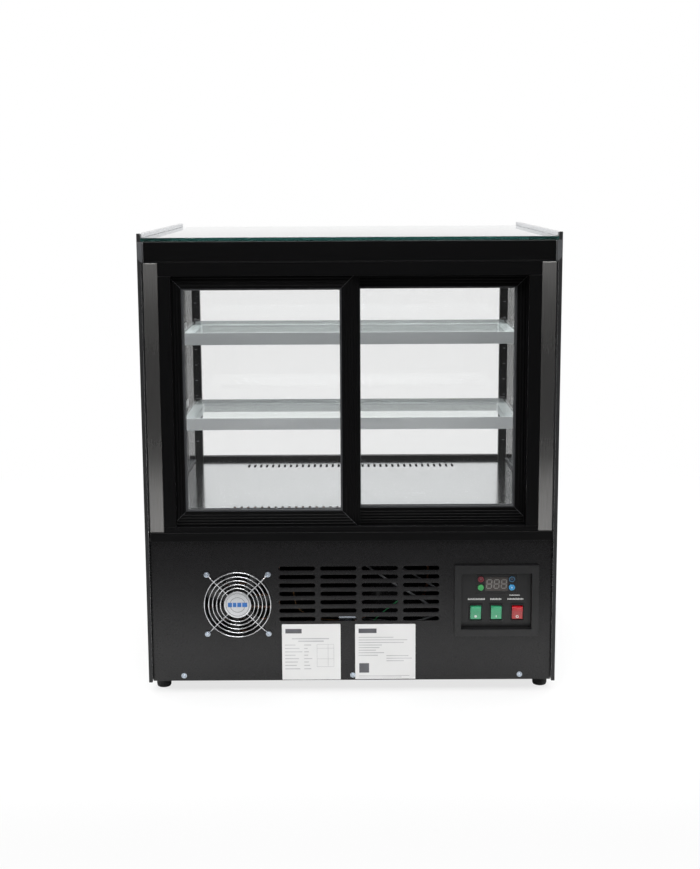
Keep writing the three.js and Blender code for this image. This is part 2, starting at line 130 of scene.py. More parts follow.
world = bpy.data.worlds.new("studio")
world.use_nodes = True
bpy.context.scene.world = world
tree = world.node_tree
room_light = tree.nodes["Background"]
direction = add_node(tree, "TexCoord")
split = add_node(tree, "SeparateXYZ")
room = add_node(tree, "ValToRGB")
halfway = add_node(tree, "MapRange", **{"From Min": -1.0, "From Max": 1.0})
tree.links.new(direction.outputs["Generated"], split.inputs[0])
tree.links.new(split.outputs["Y"], halfway.inputs["Value"])
tree.links.new(halfway.outputs["Result"], room.inputs["Fac"])
set_ramp(room, [(0.12, ROOM_DARK), (0.45, 0.70), (0.62, ROOM_WHITE)])
tree.links.new(room.outputs["Color"], room_light.inputs["Color"])
paper_light = add_node(tree, "Background", Color=(1.0, 1.0, 1.0, 1.0))
mix = add_node(tree, "MixShader")
tree.links.new(sight_line(tree), mix.inputs["Fac"])
tree.links.new(room_light.outputs["Background"], mix.inputs[1])
tree.links.new(paper_light.outputs["Background"], mix.inputs[2])
tree.links.new(mix.outputs["Shader"], tree.nodes["World Output"].inputs["Surface"])
bpy.context.scene.view_settings.view_transform = "Standard"

# %% Lamps


def soft_box(name, place, aim, size, power):
    """A rectangular lamp that points at a place, its power in watts."""
    lamp = bpy.data.lights.new(name, "AREA")
    lamp.shape = "RECTANGLE"
    lamp.size, lamp.size_y = size
    lamp.energy = power
    holder = bpy.data.objects.new(name, lamp)
    bpy.context.scene.collection.objects.link(holder)
    way = Vector(aim) - Vector(place)
    holder.matrix_world = Matrix.Translation(place) @ way.to_track_quat("-Z", "Y").to_matrix().to_4x4()


soft_box("overhead_box", (0.0, 0.3, 3.2), (0.0, 0.1, 0.0), (4.0, 4.0), 95)
soft_box("front_box", (0.0, -3.0, 3.2), (0.0, -0.3, 0.3), (2.2, 1.2), 85)
soft_box("left_box", (-2.6, -1.5, 1.5), (0.0, -0.2, 0.35), (1.4, 1.8), 12)
soft_box("right_box", (2.8, -1.2, 1.6), (0.0, -0.2, 0.35), (1.4, 1.8), 9)

# %% [markdown]
# ## Finishes
# Every finish is made from noise on Object coordinates, so the pattern stays fixed to the metal
# and has its real size. A Mapping node gives one grain its width, and a long stretch along one
# axis turns round grains into brush lines. The same noise drives colour, roughness and bump by
# small amounts: real sheet metal is never even, but its unevenness is only just visible.


# %% Helpers for finishes
def finish(name, colour, roughness, **constants):
    """A material with a Principled shader. constants set its sockets by name."""
    material = bpy.data.materials.new(name)
    material.use_nodes = True
    shader = material.node_tree.nodes["Principled BSDF"]
    shader.inputs["Base Color"].default_value = (*colour, 1.0)
    shader.inputs["Roughness"].default_value = roughness
    for key, value in constants.items():
        shader.inputs[key.replace("_", " ")].default_value = value
    return material


def grain(material, size, stretch=(1, 1, 1), detail=4.0):
    """Noise whose grains are size metres wide, made longer by stretch along each axis."""
    tree = material.node_tree
    place = add_node(tree, "TexCoord")
    scale = [1.0 / (size * along) for along in stretch]
    mapping = add_node(tree, "Mapping", Scale=scale)
    noise = add_node(tree, "TexNoise", Scale=1.0, Detail=detail)
    tree.links.new(place.outputs["Object"], mapping.inputs["Vector"])
    tree.links.new(mapping.outputs["Vector"], noise.inputs["Vector"])
    return noise.outputs["Fac"]


def drive(material, socket, height, low, high):
    """Lets a pattern move a shader value between low and high."""
    tree = material.node_tree
    spread = add_node(tree, "MapRange", **{"From Min": 0.3, "From Max": 0.7, "To Min": low, "To Max": high})
    tree.links.new(height, spread.inputs["Value"])
    tree.links.new(spread.outputs["Result"], tree.nodes["Principled BSDF"].inputs[socket])


def tint(material, height, dark, light):
    """Lets a pattern move the colour between two shades."""
    tree = material.node_tree
    ramp = add_node(tree, "ValToRGB")
    set_ramp(ramp, [(0.3, dark), (0.7, light)])
    tree.links.new(height, ramp.inputs["Fac"])
    tree.links.new(ramp.outputs["Color"], tree.nodes["Principled BSDF"].inputs["Base Color"])


def emboss(material, height, depth):
    """Turns a pattern into bumps of about that depth."""
    tree = material.node_tree
    bump = add_node(tree, "Bump", Distance=depth, Strength=1.0)
    tree.links.new(height, bump.inputs["Height"])
    tree.links.new(bump.outputs["Normal"], tree.nodes["Principled BSDF"].inputs["Normal"])


# %% [markdown]
# Plastics, paints and rubber differ in how coarse their skin is and how far it shines. One recipe
# makes them all: a large cloudy noise for the colour, as dust and handling leave, and a fine noise
# for the skin.

# %% Paints, plastics and rubber
def skin_finish(name, colour, roughness, skin, depth, cloud=0.25, **constants):
    """An opaque finish with a fine skin, skin metres wide and depth metres deep."""
    material = finish(name, colour, roughness, **constants)
    clouds = grain(material, 45 * MM, detail=5.0)
    tint(material, clouds, [c * (1 - cloud) for c in colour], [c * (1 + cloud) for c in colour])
    fine = grain(material, skin)
    drive(material, "Roughness", fine, roughness - 0.06, roughness + 0.06)
    emboss(material, fine, depth)
    return material


black_steel = skin_finish(
    "black_powder_coat", (0.0042, 0.0040, 0.0045), 0.26, 0.9 * MM, 0.005 * MM, 0.15, Specular_IOR_Level=0.42,
)
panel_plastic = skin_finish("textured_plastic", (0.0070, 0.0070, 0.0075), 0.36, 0.35 * MM, 0.012 * MM)
fan_plastic = skin_finish("fan_plastic", (0.012, 0.012, 0.013), 0.42, 0.5 * MM, 0.015 * MM)
foot_rubber = skin_finish("foot_rubber", (0.010, 0.010, 0.010), 0.8, 0.4 * MM, 0.03 * MM, 0.4)
seal_rubber = skin_finish("seal_rubber", (0.008, 0.008, 0.009), 0.55, 0.4 * MM, 0.01 * MM)
well_liner = skin_finish("dark_liner", (0.014, 0.015, 0.017), 0.5, 1.2 * MM, 0.02 * MM, 0.10)
cap_plastic = skin_finish("grey_cap_plastic", (0.090, 0.093, 0.099), 0.4, 0.4 * MM, 0.015 * MM)
compressor_paint = skin_finish("gloss_black_paint", (0.010, 0.010, 0.011), 0.24, 2.5 * MM, 0.04 * MM)
label_paper = skin_finish("label_paper", (0.76, 0.76, 0.755), 0.5, 0.5 * MM, 0.004 * MM, 0.02)
label_ink = skin_finish("grey_print", (0.10, 0.10, 0.11), 0.6, 0.8 * MM, 0.002 * MM, 0.3)
faint_ink = skin_finish("faint_print", (0.5, 0.5, 0.51), 0.6, 0.8 * MM, 0.002 * MM, 0.2)
caption_ink = skin_finish("white_print", (0.62, 0.63, 0.62), 0.5, 0.6 * MM, 0.002 * MM, 0.15)
black_enamel = skin_finish("black_enamel", (0.006, 0.006, 0.007), 0.12, 6 * MM, 0.002 * MM)
print("opaque finishes:", len(bpy.data.materials))

# %% [markdown]
# Metals are brushed or drawn along their length. The grain's long side follows the piece, so a
# profile that runs along X and one that runs along Z need two materials. An anodised profile is a
# metal under a thin black skin: it is made as a dark, slightly shiny dielectric with the same
# drawing lines in it.

# %% Metals
ALONG = {"X": (90, 1, 1), "Y": (1, 90, 1), "Z": (1, 1, 90)}
BRUSH_LINE = 0.5 * MM


def brushed(name, colour, roughness, axis, contrast):
    """Metal with brush lines along one axis."""
    material = finish(name, colour, roughness, Metallic=1.0)
    lines = grain(material, BRUSH_LINE, ALONG[axis], detail=6.0)
    tint(material, lines, [c * (1 - contrast) for c in colour], [c * (1 + contrast) for c in colour])
    drive(material, "Roughness", lines, roughness - 0.05, roughness + 0.07)
    emboss(material, lines, 0.012 * MM)
    return material


def anodised(name, axis):
    """Black anodised aluminium, drawn along one axis."""
    material = finish(name, (0.0025, 0.0025, 0.0028), 0.32, Specular_IOR_Level=0.13)
    lines = grain(material, 0.7 * MM, ALONG[axis], detail=5.0)
    tint(material, lines, (0.0018, 0.0018, 0.0020), (0.0034, 0.0034, 0.0037))
    drive(material, "Roughness", lines, 0.28, 0.42)
    emboss(material, lines, 0.01 * MM)
    return material


black_profile = {axis: anodised(f"black_anodised_{axis.lower()}", axis) for axis in "XZ"}
post_steel = brushed("post_steel", (0.30, 0.295, 0.29), 0.30, "Z", 0.16)
deck_steel = brushed("deck_steel", (0.615, 0.635, 0.645), 0.12, "X", 0.03)
# The upper level's near rail steel is a darker copy of the lower one's: a painted shade, not a different
# steel.
near_rail_steel_and_painted_shade = {
    "upper": brushed("upper_shelf_steel_painted_shade", (0.56, 0.58, 0.59), 0.46, "X", 0.06),
    "lower": brushed("lower_shelf_steel", (0.74, 0.76, 0.77), 0.46, "X", 0.06),
}
# The far rails' steel is the rail steel darkened: a painted shade for rails seen through the shelf glass.
far_steel_painted_shade = brushed("far_shelf_steel_painted_shade", (0.34, 0.355, 0.36), 0.46, "X", 0.05)
shelf_side_steel = brushed("shelf_side_steel", (0.72, 0.74, 0.75), 0.46, "Y", 0.06)
trim_aluminium = brushed("trim_aluminium", (0.66, 0.67, 0.69), 0.28, "Y", 0.05)
end_aluminium = brushed("end_aluminium", (0.66, 0.67, 0.69), 0.3, "Z", 0.06)
# The fins are darker than bare aluminium: a painted shade for the dark inside of the base and the well.
shaded_fin_aluminium = brushed("shaded_fin_aluminium", (0.34, 0.345, 0.35), 0.4, "Z", 0.12)
spacer_grey = brushed("spacer_grey", (0.34, 0.36, 0.38), 0.42, "Z", 0.08)

# %% [markdown]
# The posts are the most handled steel. Cleaning has scuffed them towards the foot, where cloths
# and trays rub, so they are duller there and smoother at eye height. A ramp on Object Z sets that
# roughness, and the brush lines add their own small change to it.

# %% Wear on the posts
POST_WEAR = ((0.28, 0.62), (0.36, 0.47), (0.42, 0.26), (0.47, 0.19), (0.56, 0.20), (0.66, 0.27), (0.76, 0.42))
LINES_SHARE = 0.08


def along_axis(tree, axis, stops):
    """A grey value that changes along one object axis, from (place in metres, value) stops."""
    place = add_node(tree, "TexCoord")
    split = add_node(tree, "SeparateXYZ")
    low, high = stops[0][0], stops[-1][0]
    distance = add_node(tree, "MapRange", **{"From Min": low, "From Max": high})
    shade = add_node(tree, "ValToRGB")
    set_ramp(shade, [((at - low) / (high - low), value) for at, value in stops])
    tree.links.new(place.outputs["Object"], split.inputs[0])
    tree.links.new(split.outputs[axis], distance.inputs["Value"])
    tree.links.new(distance.outputs["Result"], shade.inputs["Fac"])
    return shade.outputs["Color"]


def scuffed(material, stops):
    """Sets roughness by height, plus a small share from the brush lines."""
    tree = material.node_tree
    both = add_node(tree, "Math", {"operation": "MULTIPLY_ADD"})
    both.inputs[1].default_value = LINES_SHARE
    tree.links.new(grain(material, BRUSH_LINE, ALONG["Z"]), both.inputs[0])
    tree.links.new(along_axis(tree, "Z", stops), both.inputs[2])
    tree.links.new(both.outputs["Value"], tree.nodes["Principled BSDF"].inputs["Roughness"])


scuffed(post_steel, POST_WEAR)
print("post roughness stops:", len(POST_WEAR))


# %% Plated and polished metals
def bright_metal(name, colour, roughness, pits):
    """Plated or polished metal: a smooth surface with a faint cloudiness."""
    material = finish(name, colour, roughness, Metallic=1.0)
    clouds = grain(material, pits, detail=5.0)
    tint(material, clouds, [c * 0.88 for c in colour], [min(c * 1.06, 1.0) for c in colour])
    drive(material, "Roughness", clouds, roughness * 0.7, roughness * 1.5)
    return material


chrome = bright_metal("chrome_wire", (0.80, 0.81, 0.83), 0.10, 1.5 * MM)
zinc = bright_metal("blue_zinc", (0.62, 0.68, 0.76), 0.24, 0.8 * MM)
# The copper is darker than bright copper: a painted shade for the dark inside of the base, where every pipe
# sits.
shaded_copper = bright_metal("copper_pipe_painted_shade", (0.50, 0.25, 0.15), 0.26, 3 * MM)
silver_foil = bright_metal("silver_foil", (0.74, 0.75, 0.77), 0.34, 1.0 * MM)

# %% [markdown]
# ## Glass
# Float glass is nearly colourless through its thickness and green through its edge, where light has
# travelled a long way inside. A tinted surface would be green everywhere, so the colour comes from
# Volume Absorption instead. Lamps couldn't shine into the case through solid glass, so shadow rays
# see a transparent sheet.

# %% Glass
GLASS_SMEAR = 0.02


def glass_finish(name, density, colour, straight=0.0):
    """Clear glass that swallows red light, density per metre. straight is the share that goes
    through an anti-glare coat with no mirror image."""
    material = finish(name, (1.0, 1.0, 1.0), 0.0, IOR=1.5, Transmission_Weight=1.0)
    tree = material.node_tree
    shader = tree.nodes["Principled BSDF"]
    smears = grain(material, 60 * MM, (1, 1, 2.5), detail=6.0)
    drive(material, "Roughness", smears, 0.0, GLASS_SMEAR)
    output = tree.nodes["Material Output"]
    rays = add_node(tree, "LightPath")
    clear = add_node(tree, "BsdfTransparent")
    mix = add_node(tree, "MixShader")
    passing = add_node(tree, "Math", {"operation": "MAXIMUM"})
    passing.inputs[1].default_value = straight
    tree.links.new(rays.outputs["Is Shadow Ray"], passing.inputs[0])
    tree.links.new(passing.outputs["Value"], mix.inputs["Fac"])
    tree.links.new(shader.outputs["BSDF"], mix.inputs[1])
    tree.links.new(clear.outputs["BSDF"], mix.inputs[2])
    tree.links.new(mix.outputs["Shader"], output.inputs["Surface"])
    body = add_node(tree, "VolumeAbsorption", Color=(*colour, 1.0), Density=density)
    tree.links.new(body.outputs["Volume"], output.inputs["Volume"])
    return material


top_glass = glass_finish("top_glass", 9.0, (0.29, 0.545, 0.52))
shelf_glass = glass_finish("shelf_glass", 2.2, (0.55, 0.95, 0.86), straight=0.78)
clear_glass = glass_finish("clear_glass", 1.2, (0.6, 0.92, 0.9))
side_glass = glass_finish("side_glass", 2.0, (0.6, 0.9, 0.88))
print("materials:", len(bpy.data.materials))

# %% [markdown]
# ## Tools of the workshop
# Most pieces are sheets, bars, turned parts or bent wire, so a few helpers make them all: a softened
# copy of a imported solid, a plain bar, a sheet with holes, a turned profile and a wire along a path.
# Each gives a bmesh, and `piece` turns it into an object that rides on a body of the machine.
# Rounded edges are real faces here rather than a Bevel modifier, because the edges are what
# catches the light on black metal.


# %% Shapes
MERGE = 0.005 * MM
CREASE = math.radians(30)


def from_cad(node):
    """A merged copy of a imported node's mesh, its flat faces joined."""
    bm = bmesh.new()
    bm.from_mesh(nodes[node].data)
    bmesh.ops.remove_doubles(bm, verts=bm.verts, dist=0.01 * MM)
    bmesh.ops.dissolve_limit(bm, angle_limit=math.radians(1), verts=bm.verts, edges=bm.edges)
    return bm


def bar(low, high):
    """A rectangular bar between two corners."""
    bm = bmesh.new()
    bmesh.ops.create_cube(bm, size=1.0)
    low, high = Vector(low), Vector(high)
    bmesh.ops.scale(bm, vec=high - low, verts=bm.verts)
    bmesh.ops.translate(bm, vec=(low + high) / 2, verts=bm.verts)
    return bm


def sharp_edges(bm, limit=CREASE):
    """Edges that turn by more than the limit."""
    return [e for e in bm.edges if len(e.link_faces) == 2 and e.calc_face_angle(0.0) > limit]


def soften(bm, width, segments=2, edges=None):
    """Rounds the sharp edges, or the given ones."""
    bmesh.ops.bevel(
        bm, geom=edges if edges is not None else sharp_edges(bm), offset=width, offset_type="OFFSET",
        affect="EDGES", segments=segments, profile=0.5, material=-1, clamp_overlap=True,
    )
    return bm


def gather(*pieces):
    """Puts several bmeshes into the first."""
    whole = pieces[0]
    for part in pieces[1:]:
        carrier = bpy.data.meshes.new("carrier")
        part.to_mesh(carrier)
        part.free()
        whole.from_mesh(carrier)
        bpy.data.meshes.remove(carrier)
    return whole


def moved(bm, place=(0, 0, 0), angle=0.0, axis="Z"):
    """Turns a bmesh about an axis through the origin, then puts it in its place."""
    bmesh.ops.rotate(bm, cent=(0, 0, 0), matrix=Matrix.Rotation(angle, 3, axis), verts=bm.verts)
    bmesh.ops.translate(bm, vec=place, verts=bm.verts)
    return bm


def chain(bm, points, closed=False):
    """Vertices joined by edges."""
    verts = [bm.verts.new(p) for p in points]
    pairs = list(zip(verts, verts[1:])) + ([(verts[-1], verts[0])] if closed else [])
    return verts + [bm.edges.new(pair) for pair in pairs]


def turned(points, steps=48, closed=False):
    """A profile of (radius, height) points spun a full turn about Z."""
    bm = bmesh.new()
    line = chain(bm, [(r, 0.0, z) for r, z in points], closed)
    bmesh.ops.spin(
        bm, geom=line, cent=(0, 0, 0), axis=(0, 0, 1), dvec=(0, 0, 0), angle=2 * math.pi,
        steps=steps, use_merge=True, use_duplicate=False, use_normal_flip=False,
    )
    bmesh.ops.remove_doubles(bm, verts=bm.verts, dist=MERGE)
    bmesh.ops.recalc_face_normals(bm, faces=bm.faces)
    return bm


def ring_of(radius, wire, steps=72, sides=10):
    """A round wire bent into a ring about Z."""
    bm = bmesh.new()
    section = bmesh.ops.create_circle(bm, segments=sides, radius=wire / 2, cap_ends=False)["verts"]
    bmesh.ops.rotate(bm, cent=(0, 0, 0), matrix=Matrix.Rotation(math.pi / 2, 3, "X"), verts=section)
    bmesh.ops.translate(bm, vec=(radius, 0, 0), verts=section)
    bmesh.ops.spin(
        bm, geom=bm.verts[:] + bm.edges[:], cent=(0, 0, 0), axis=(0, 0, 1), dvec=(0, 0, 0),
        angle=2 * math.pi, steps=steps, use_merge=True, use_duplicate=False, use_normal_flip=False,
    )
    bmesh.ops.remove_doubles(bm, verts=bm.verts, dist=MERGE)
    bmesh.ops.recalc_face_normals(bm, faces=bm.faces)
    return bm


def wire(points, radius, sides=3, smooth=True):
    """A round wire or pipe along points, by way of a curve. sides is the curve's bevel resolution."""
    curve = bpy.data.curves.new("wire", "CURVE")
    curve.dimensions = "3D"
    curve.bevel_depth = radius
    curve.bevel_resolution = sides
    curve.use_fill_caps = True
    curve.resolution_u = 6
    spline = curve.splines.new("NURBS" if smooth else "POLY")
    spline.points.add(len(points) - 1)
    for point, place in zip(spline.points, points):
        point.co = (*place, 1.0)
    if smooth:
        spline.order_u = 3
        spline.use_endpoint_u = True
    holder = bpy.data.objects.new("wire", curve)
    bpy.context.scene.collection.objects.link(holder)
    bpy.context.view_layer.update()
    mesh = bpy.data.meshes.new_from_object(holder)
    bm = bmesh.new()
    bm.from_mesh(mesh)
    bmesh.ops.remove_doubles(bm, verts=bm.verts, dist=MERGE)
    bmesh.ops.recalc_face_normals(bm, faces=bm.faces)
    bpy.data.objects.remove(holder)
    bpy.data.curves.remove(curve)
    bpy.data.meshes.remove(mesh)
    return bm


# %% [markdown]
# Sheet metal starts flat: the outline and its holes are loops of edges, one fill covers what lies
# between them, and Solidify gives the sheet its thickness. A Boolean could cut the holes instead,
# but the fill keeps the rims round and even, and the rims can then be softened.


# %% Sheets with holes
def oblong_loop(bm, centre, size, corner, segments=20):
    """A loop in the XY plane: a circle stretched into a rounded rectangle."""
    loop = bmesh.ops.create_circle(bm, segments=segments, radius=corner, cap_ends=False)["verts"]
    quarter = Matrix.Rotation(math.pi / segments, 3, "Z")
    bmesh.ops.rotate(bm, cent=(0, 0, 0), matrix=quarter, verts=loop)
    reach = [size[0] / 2 - corner, size[1] / 2 - corner]
    for vert in loop:
        vert.co.x += math.copysign(reach[0], vert.co.x)
        vert.co.y += math.copysign(reach[1], vert.co.y)
    bmesh.ops.translate(bm, vec=(*centre, 0), verts=loop)


def sheet(outline, holes, thickness, edge=0.0):
    """A sheet in the XY plane, its top at z 0. outline and holes are (centre, size, corner, segments)."""
    bm = bmesh.new()
    for centre, size, corner, segments in [outline, *holes]:
        oblong_loop(bm, centre, size, corner, segments)
    bmesh.ops.triangle_fill(bm, edges=bm.edges, use_beauty=True, use_dissolve=False, normal=(0, 0, 1))
    bmesh.ops.recalc_face_normals(bm, faces=bm.faces)
    if bm.faces[0].normal.z < 0:
        bmesh.ops.reverse_faces(bm, faces=bm.faces)
    grown = bmesh.ops.extrude_face_region(bm, geom=bm.faces[:], use_keep_orig=True)
    lower = [v for v in grown["geom"] if isinstance(v, bmesh.types.BMVert)]
    bmesh.ops.translate(bm, vec=(0, 0, -thickness), verts=lower)
    bmesh.ops.recalc_face_normals(bm, faces=bm.faces)
    if edge:
        top = [e for e in sharp_edges(bm, math.radians(60)) if all(v.co.z > -0.01 * MM for v in e.verts)]
        soften(bm, edge, 2, top)
    return bm


def faced(bm, place):
    """Turns a shape made on +Z towards the service side and puts it in its place."""
    return moved(bm, place, math.pi / 2, "X")


def upright(bm, y):
    """Stands a flat shape up, its top side facing the service side at depth y."""
    return faced(bm, (0, y, 0))


# %% The object at the end of every piece
def piece(name, bm, material, body="case", replaces=(), smooth=35):
    """Makes the object: smooth faces with sharp creases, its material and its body."""
    mesh = bpy.data.meshes.new(name)
    bm.to_mesh(mesh)
    bm.free()
    mesh.materials.append(material)
    mesh.shade_smooth()
    mesh.set_sharp_from_angle(angle=math.radians(smooth))
    thing = bpy.data.objects.new(name, mesh)
    bpy.context.scene.collection.objects.link(thing)
    weights = thing.modifiers.new("even_normals", "WEIGHTED_NORMAL")
    weights.keep_sharp = True
    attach(thing, body)
    if replaces:
        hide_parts(*replaces)
    return thing


def low_high(node):
    """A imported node's corners as vectors."""
    low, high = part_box(node)
    return Vector(low), Vector(high)


SIDES = {"left": -1, "right": 1}


def side_bar(sign, span, y, z):
    """A bar on one side, between two distances from the middle, two depths and two heights."""
    x = sorted(sign * reach for reach in span)
    return bar((x[0], y[0], z[0]), (x[1], y[1], z[1]))


# %% [markdown]
# ## The base
# A folded chassis carries everything. It is closed by a sheet steel service panel with punched
# louvres, a round hole for the fan and an opening for the controls. Round holes and slots are the
# first thing that gives a faceted model away, so the panel is made new from loops, and the plain
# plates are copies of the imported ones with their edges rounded.


# %% Plain plates and bars: softened copies
def softened_copy(node, material, width, segments=2):
    """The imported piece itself, its edges rounded."""
    piece(f"{node}_finished", soften(from_cad(node), width, segments), material, "case", [node])


softened_copy("base_chassis", black_steel, 0.4 * MM)
softened_copy("front_lower_panel", black_steel, 0.8 * MM)
softened_copy("sill_trim", black_profile["X"], 1.2 * MM, 3)
print("plates made")

# %% [markdown]
# The insulated well is a shallow tub let into the top of the base: a floor, a wide rim and a
# narrower collar that carries the deck. A fill between two loops makes each rim with its opening,
# which a copy with merged faces couldn't hold, because one face has no holes.

# %% Insulated well
WELL_CAVITY = ((0.0, 23.5 * MM), mm(600, 477), 6 * MM, 16)
WELL_FLOOR = 14 * MM
WELL_COLLAR = 12 * MM

well_low, well_high = low_high("insulated_well")
well_middle = (well_low + well_high) / 2
rim_top = well_high.z - WELL_COLLAR
rim_outline = ((0.0, well_middle.y), (well_high.x - well_low.x, well_high.y - well_low.y), 2 * MM, 8)
rim = moved(sheet(rim_outline, [WELL_CAVITY], rim_top - well_low.z - WELL_FLOOR, 0.8 * MM), (0, 0, rim_top))
tray_low, tray_high = low_high("deck_tray")
collar_size = (tray_high.x - tray_low.x, tray_high.y - tray_low.y)
collar_outline = ((0.0, (tray_low.y + tray_high.y) / 2), collar_size, 2 * MM, 8)
collar = sheet(collar_outline, [WELL_CAVITY], WELL_COLLAR, 0.6 * MM)
tub_floor = bar(well_low, (well_high.x, well_high.y, well_low.z + WELL_FLOOR))
bm = gather(rim, moved(collar, (0, 0, well_high.z)), soften(tub_floor, 1 * MM))
piece("well_tub", bm, well_liner, "case", ["insulated_well"])
print("well rim at", round(rim_top, 4))

# %% [markdown]
# The louvres are seven rows of oblong slots in four columns. Punching draws the rim in a little,
# and the paint rounds it further, so each rim has a soft edge.

# %% Service panel with its louvres
LOUVRE_FIRST = mm(-92.9, 221.0)
LOUVRE_STEP = mm(70.8, 14.9)
LOUVRE_GRID = (4, 7)
LOUVRE_SIZE = mm(62.0, 7.5)

panel_low, panel_high = low_high("rear_service_panel")
fan_low, fan_high = low_high("condenser_fan_frame")
fan_centre = (fan_low + fan_high) / 2
control_low, control_high = low_high("control_frame")
control_centre = (control_low + control_high) / 2
panel_middle = (panel_low + panel_high) / 2
panel_size = panel_high - panel_low

holes = [((fan_centre.x, fan_centre.z), mm(115, 115), 57.5 * MM, 96)]
opening = ((control_high.x - control_low.x) - 12 * MM, (control_high.z - control_low.z) - 12 * MM)
holes.append(((control_centre.x, control_centre.z), opening, 1.5 * MM, 12))
for column in range(LOUVRE_GRID[0]):
    for row in range(LOUVRE_GRID[1]):
        spot = (LOUVRE_FIRST[0] + column * LOUVRE_STEP[0], LOUVRE_FIRST[1] - row * LOUVRE_STEP[1])
        holes.append((spot, LOUVRE_SIZE, LOUVRE_SIZE[1] / 2, 20))
panel_outline = ((panel_middle.x, panel_middle.z), (panel_size.x, panel_size.z), 0.8 * MM, 8)
bm = upright(sheet(panel_outline, holes, panel_size.y, 0.45 * MM), panel_low.y)
piece("service_panel", bm, black_steel, "case", ["rear_service_panel"])
print("louvres:", len(holes) - 2)

# %% [markdown]
# Screws, feet and labels are small but they give the eye its scale. A pan-head screw is a turned
# dome with a collar. Its cross recess is cut by pushing four narrow faces in, which needs no
# Boolean: the head's flat middle is a small square, extruded inwards with its four neighbours.


# %% Screws
def cross_screw(radius, height):
    """A pan-head screw on +Z, its flange at z 0 and its cross recess on top."""
    arm = radius * 0.56
    slot_half = radius * 0.13
    dome = [
        (0, 0), (radius, 0), (radius, height * 0.28), (radius * 0.78, height * 0.34),
        (radius * 0.74, height * 0.62), (radius * 0.62, height * 0.88), (arm, height), (0, height),
    ]
    bm = turned(dome, 32)
    for axis in ((1, 0, 0), (0, 1, 0)):
        for side in (-slot_half, slot_half):
            top = [f for f in bm.faces if f.calc_center_median().z > height * 0.97]
            geom = top + list({e for f in top for e in f.edges}) + list({v for f in top for v in f.verts})
            place = (side * axis[0], side * axis[1], 0)
            bmesh.ops.bisect_plane(bm, geom=geom, plane_co=place, plane_no=axis, dist=1e-7)
    arms = []
    for face in bm.faces:
        centre = face.calc_center_median()
        across = min(abs(centre.x), abs(centre.y))
        if centre.z > height * 0.97 and across < slot_half and abs(face.normal.z) > 0.9:
            arms.append(face)
    sunk = bmesh.ops.extrude_face_region(bm, geom=arms)
    bottom = [v for v in sunk["geom"] if isinstance(v, bmesh.types.BMVert)]
    bmesh.ops.delete(bm, geom=arms, context="FACES")
    bmesh.ops.translate(bm, vec=(0, 0, -height * 0.55), verts=bottom)
    bmesh.ops.scale(bm, vec=(0.75, 0.75, 1), verts=bottom)
    return bm


def driven_in(bm, x, y, z, twist):
    """Turns a screw about its own axis, then drives it in from the service side."""
    return faced(moved(bm, angle=twist), (x, y, z))


PANEL_SCREW_X = mm(-290, 2, 290)
PANEL_SCREW_Z = 31 * MM
screws = [
    driven_in(cross_screw(4.6 * MM, 2.6 * MM), x, panel_low.y - 0.02 * MM, PANEL_SCREW_Z, 0.5 + 17 * x)
    for x in PANEL_SCREW_X
]
piece("panel_screws", gather(*screws), zinc, "case")

# %% Feet
foot_low, foot_high = low_high("foot_rear_left")
foot_radius = (foot_high.x - foot_low.x) / 2
foot_height = foot_high.z - foot_low.z
foot_profile = [
    mm(0, 3), mm(5, 3), mm(5.6, 0.8), mm(6.4, 0), mm(10.2, 0), mm(11.2, 0.5),
    mm(12.4, 3), mm(12.7, 8), mm(12.2, 8.8), mm(12.2, 9.8),
    mm(12.9, 10.6), (foot_radius, foot_height - 1 * MM), (foot_radius - 0.8 * MM, foot_height),
    (0, foot_height),
]
for end in ("rear", "front"):
    for side in SIDES:
        low, high = low_high(f"foot_{end}_{side}")
        middle = (low + high) / 2
        bm = moved(turned(foot_profile, 48), (middle.x, middle.y, 0))
        piece(f"rubber_foot_{end}_{side}", bm, foot_rubber, "case", [f"foot_{end}_{side}"])
print("foot radius", foot_radius)

# %% [markdown]
# The two paper labels carry plain bars in place of words: a dark heading, rows in two columns, a
# small outline drawing and a square patch. A bar of print is a very thin slab, so it needs no
# image and no lettering.

# %% Labels
LABEL_LIFT = 0.15 * MM
LABEL_PRINT = 0.03 * MM


def flat_bar(x0, x1, z0, z1, y, thick):
    """A thin bar of print in front of depth y."""
    return bar((x0, y - thick, z0), (x1, y, z1))


def label(name, x0, x1, z0, z1):
    """A paper label with round corners."""
    outline = (((x0 + x1) / 2, (z0 + z1) / 2), (x1 - x0, z1 - z0), 1.2 * MM, 16)
    piece(name, upright(sheet(outline, [], LABEL_LIFT), panel_low.y - LABEL_LIFT), label_paper)


def printed(x0, x1, z0, z1):
    """A bar of print on a label, from millimetres."""
    return flat_bar(*mm(x0, x1, z0, z1), print_y, LABEL_PRINT)


def print_rows(x, top, height, pitch, widths):
    """Bars of print, one under another, each with its own width, in millimetres."""
    rows = []
    for index, width in enumerate(widths):
        z = top * MM - index * (pitch * MM)
        rows.append(flat_bar(x * MM, x * MM + width * MM, z - height * MM, z, print_y, LABEL_PRINT))
    return rows


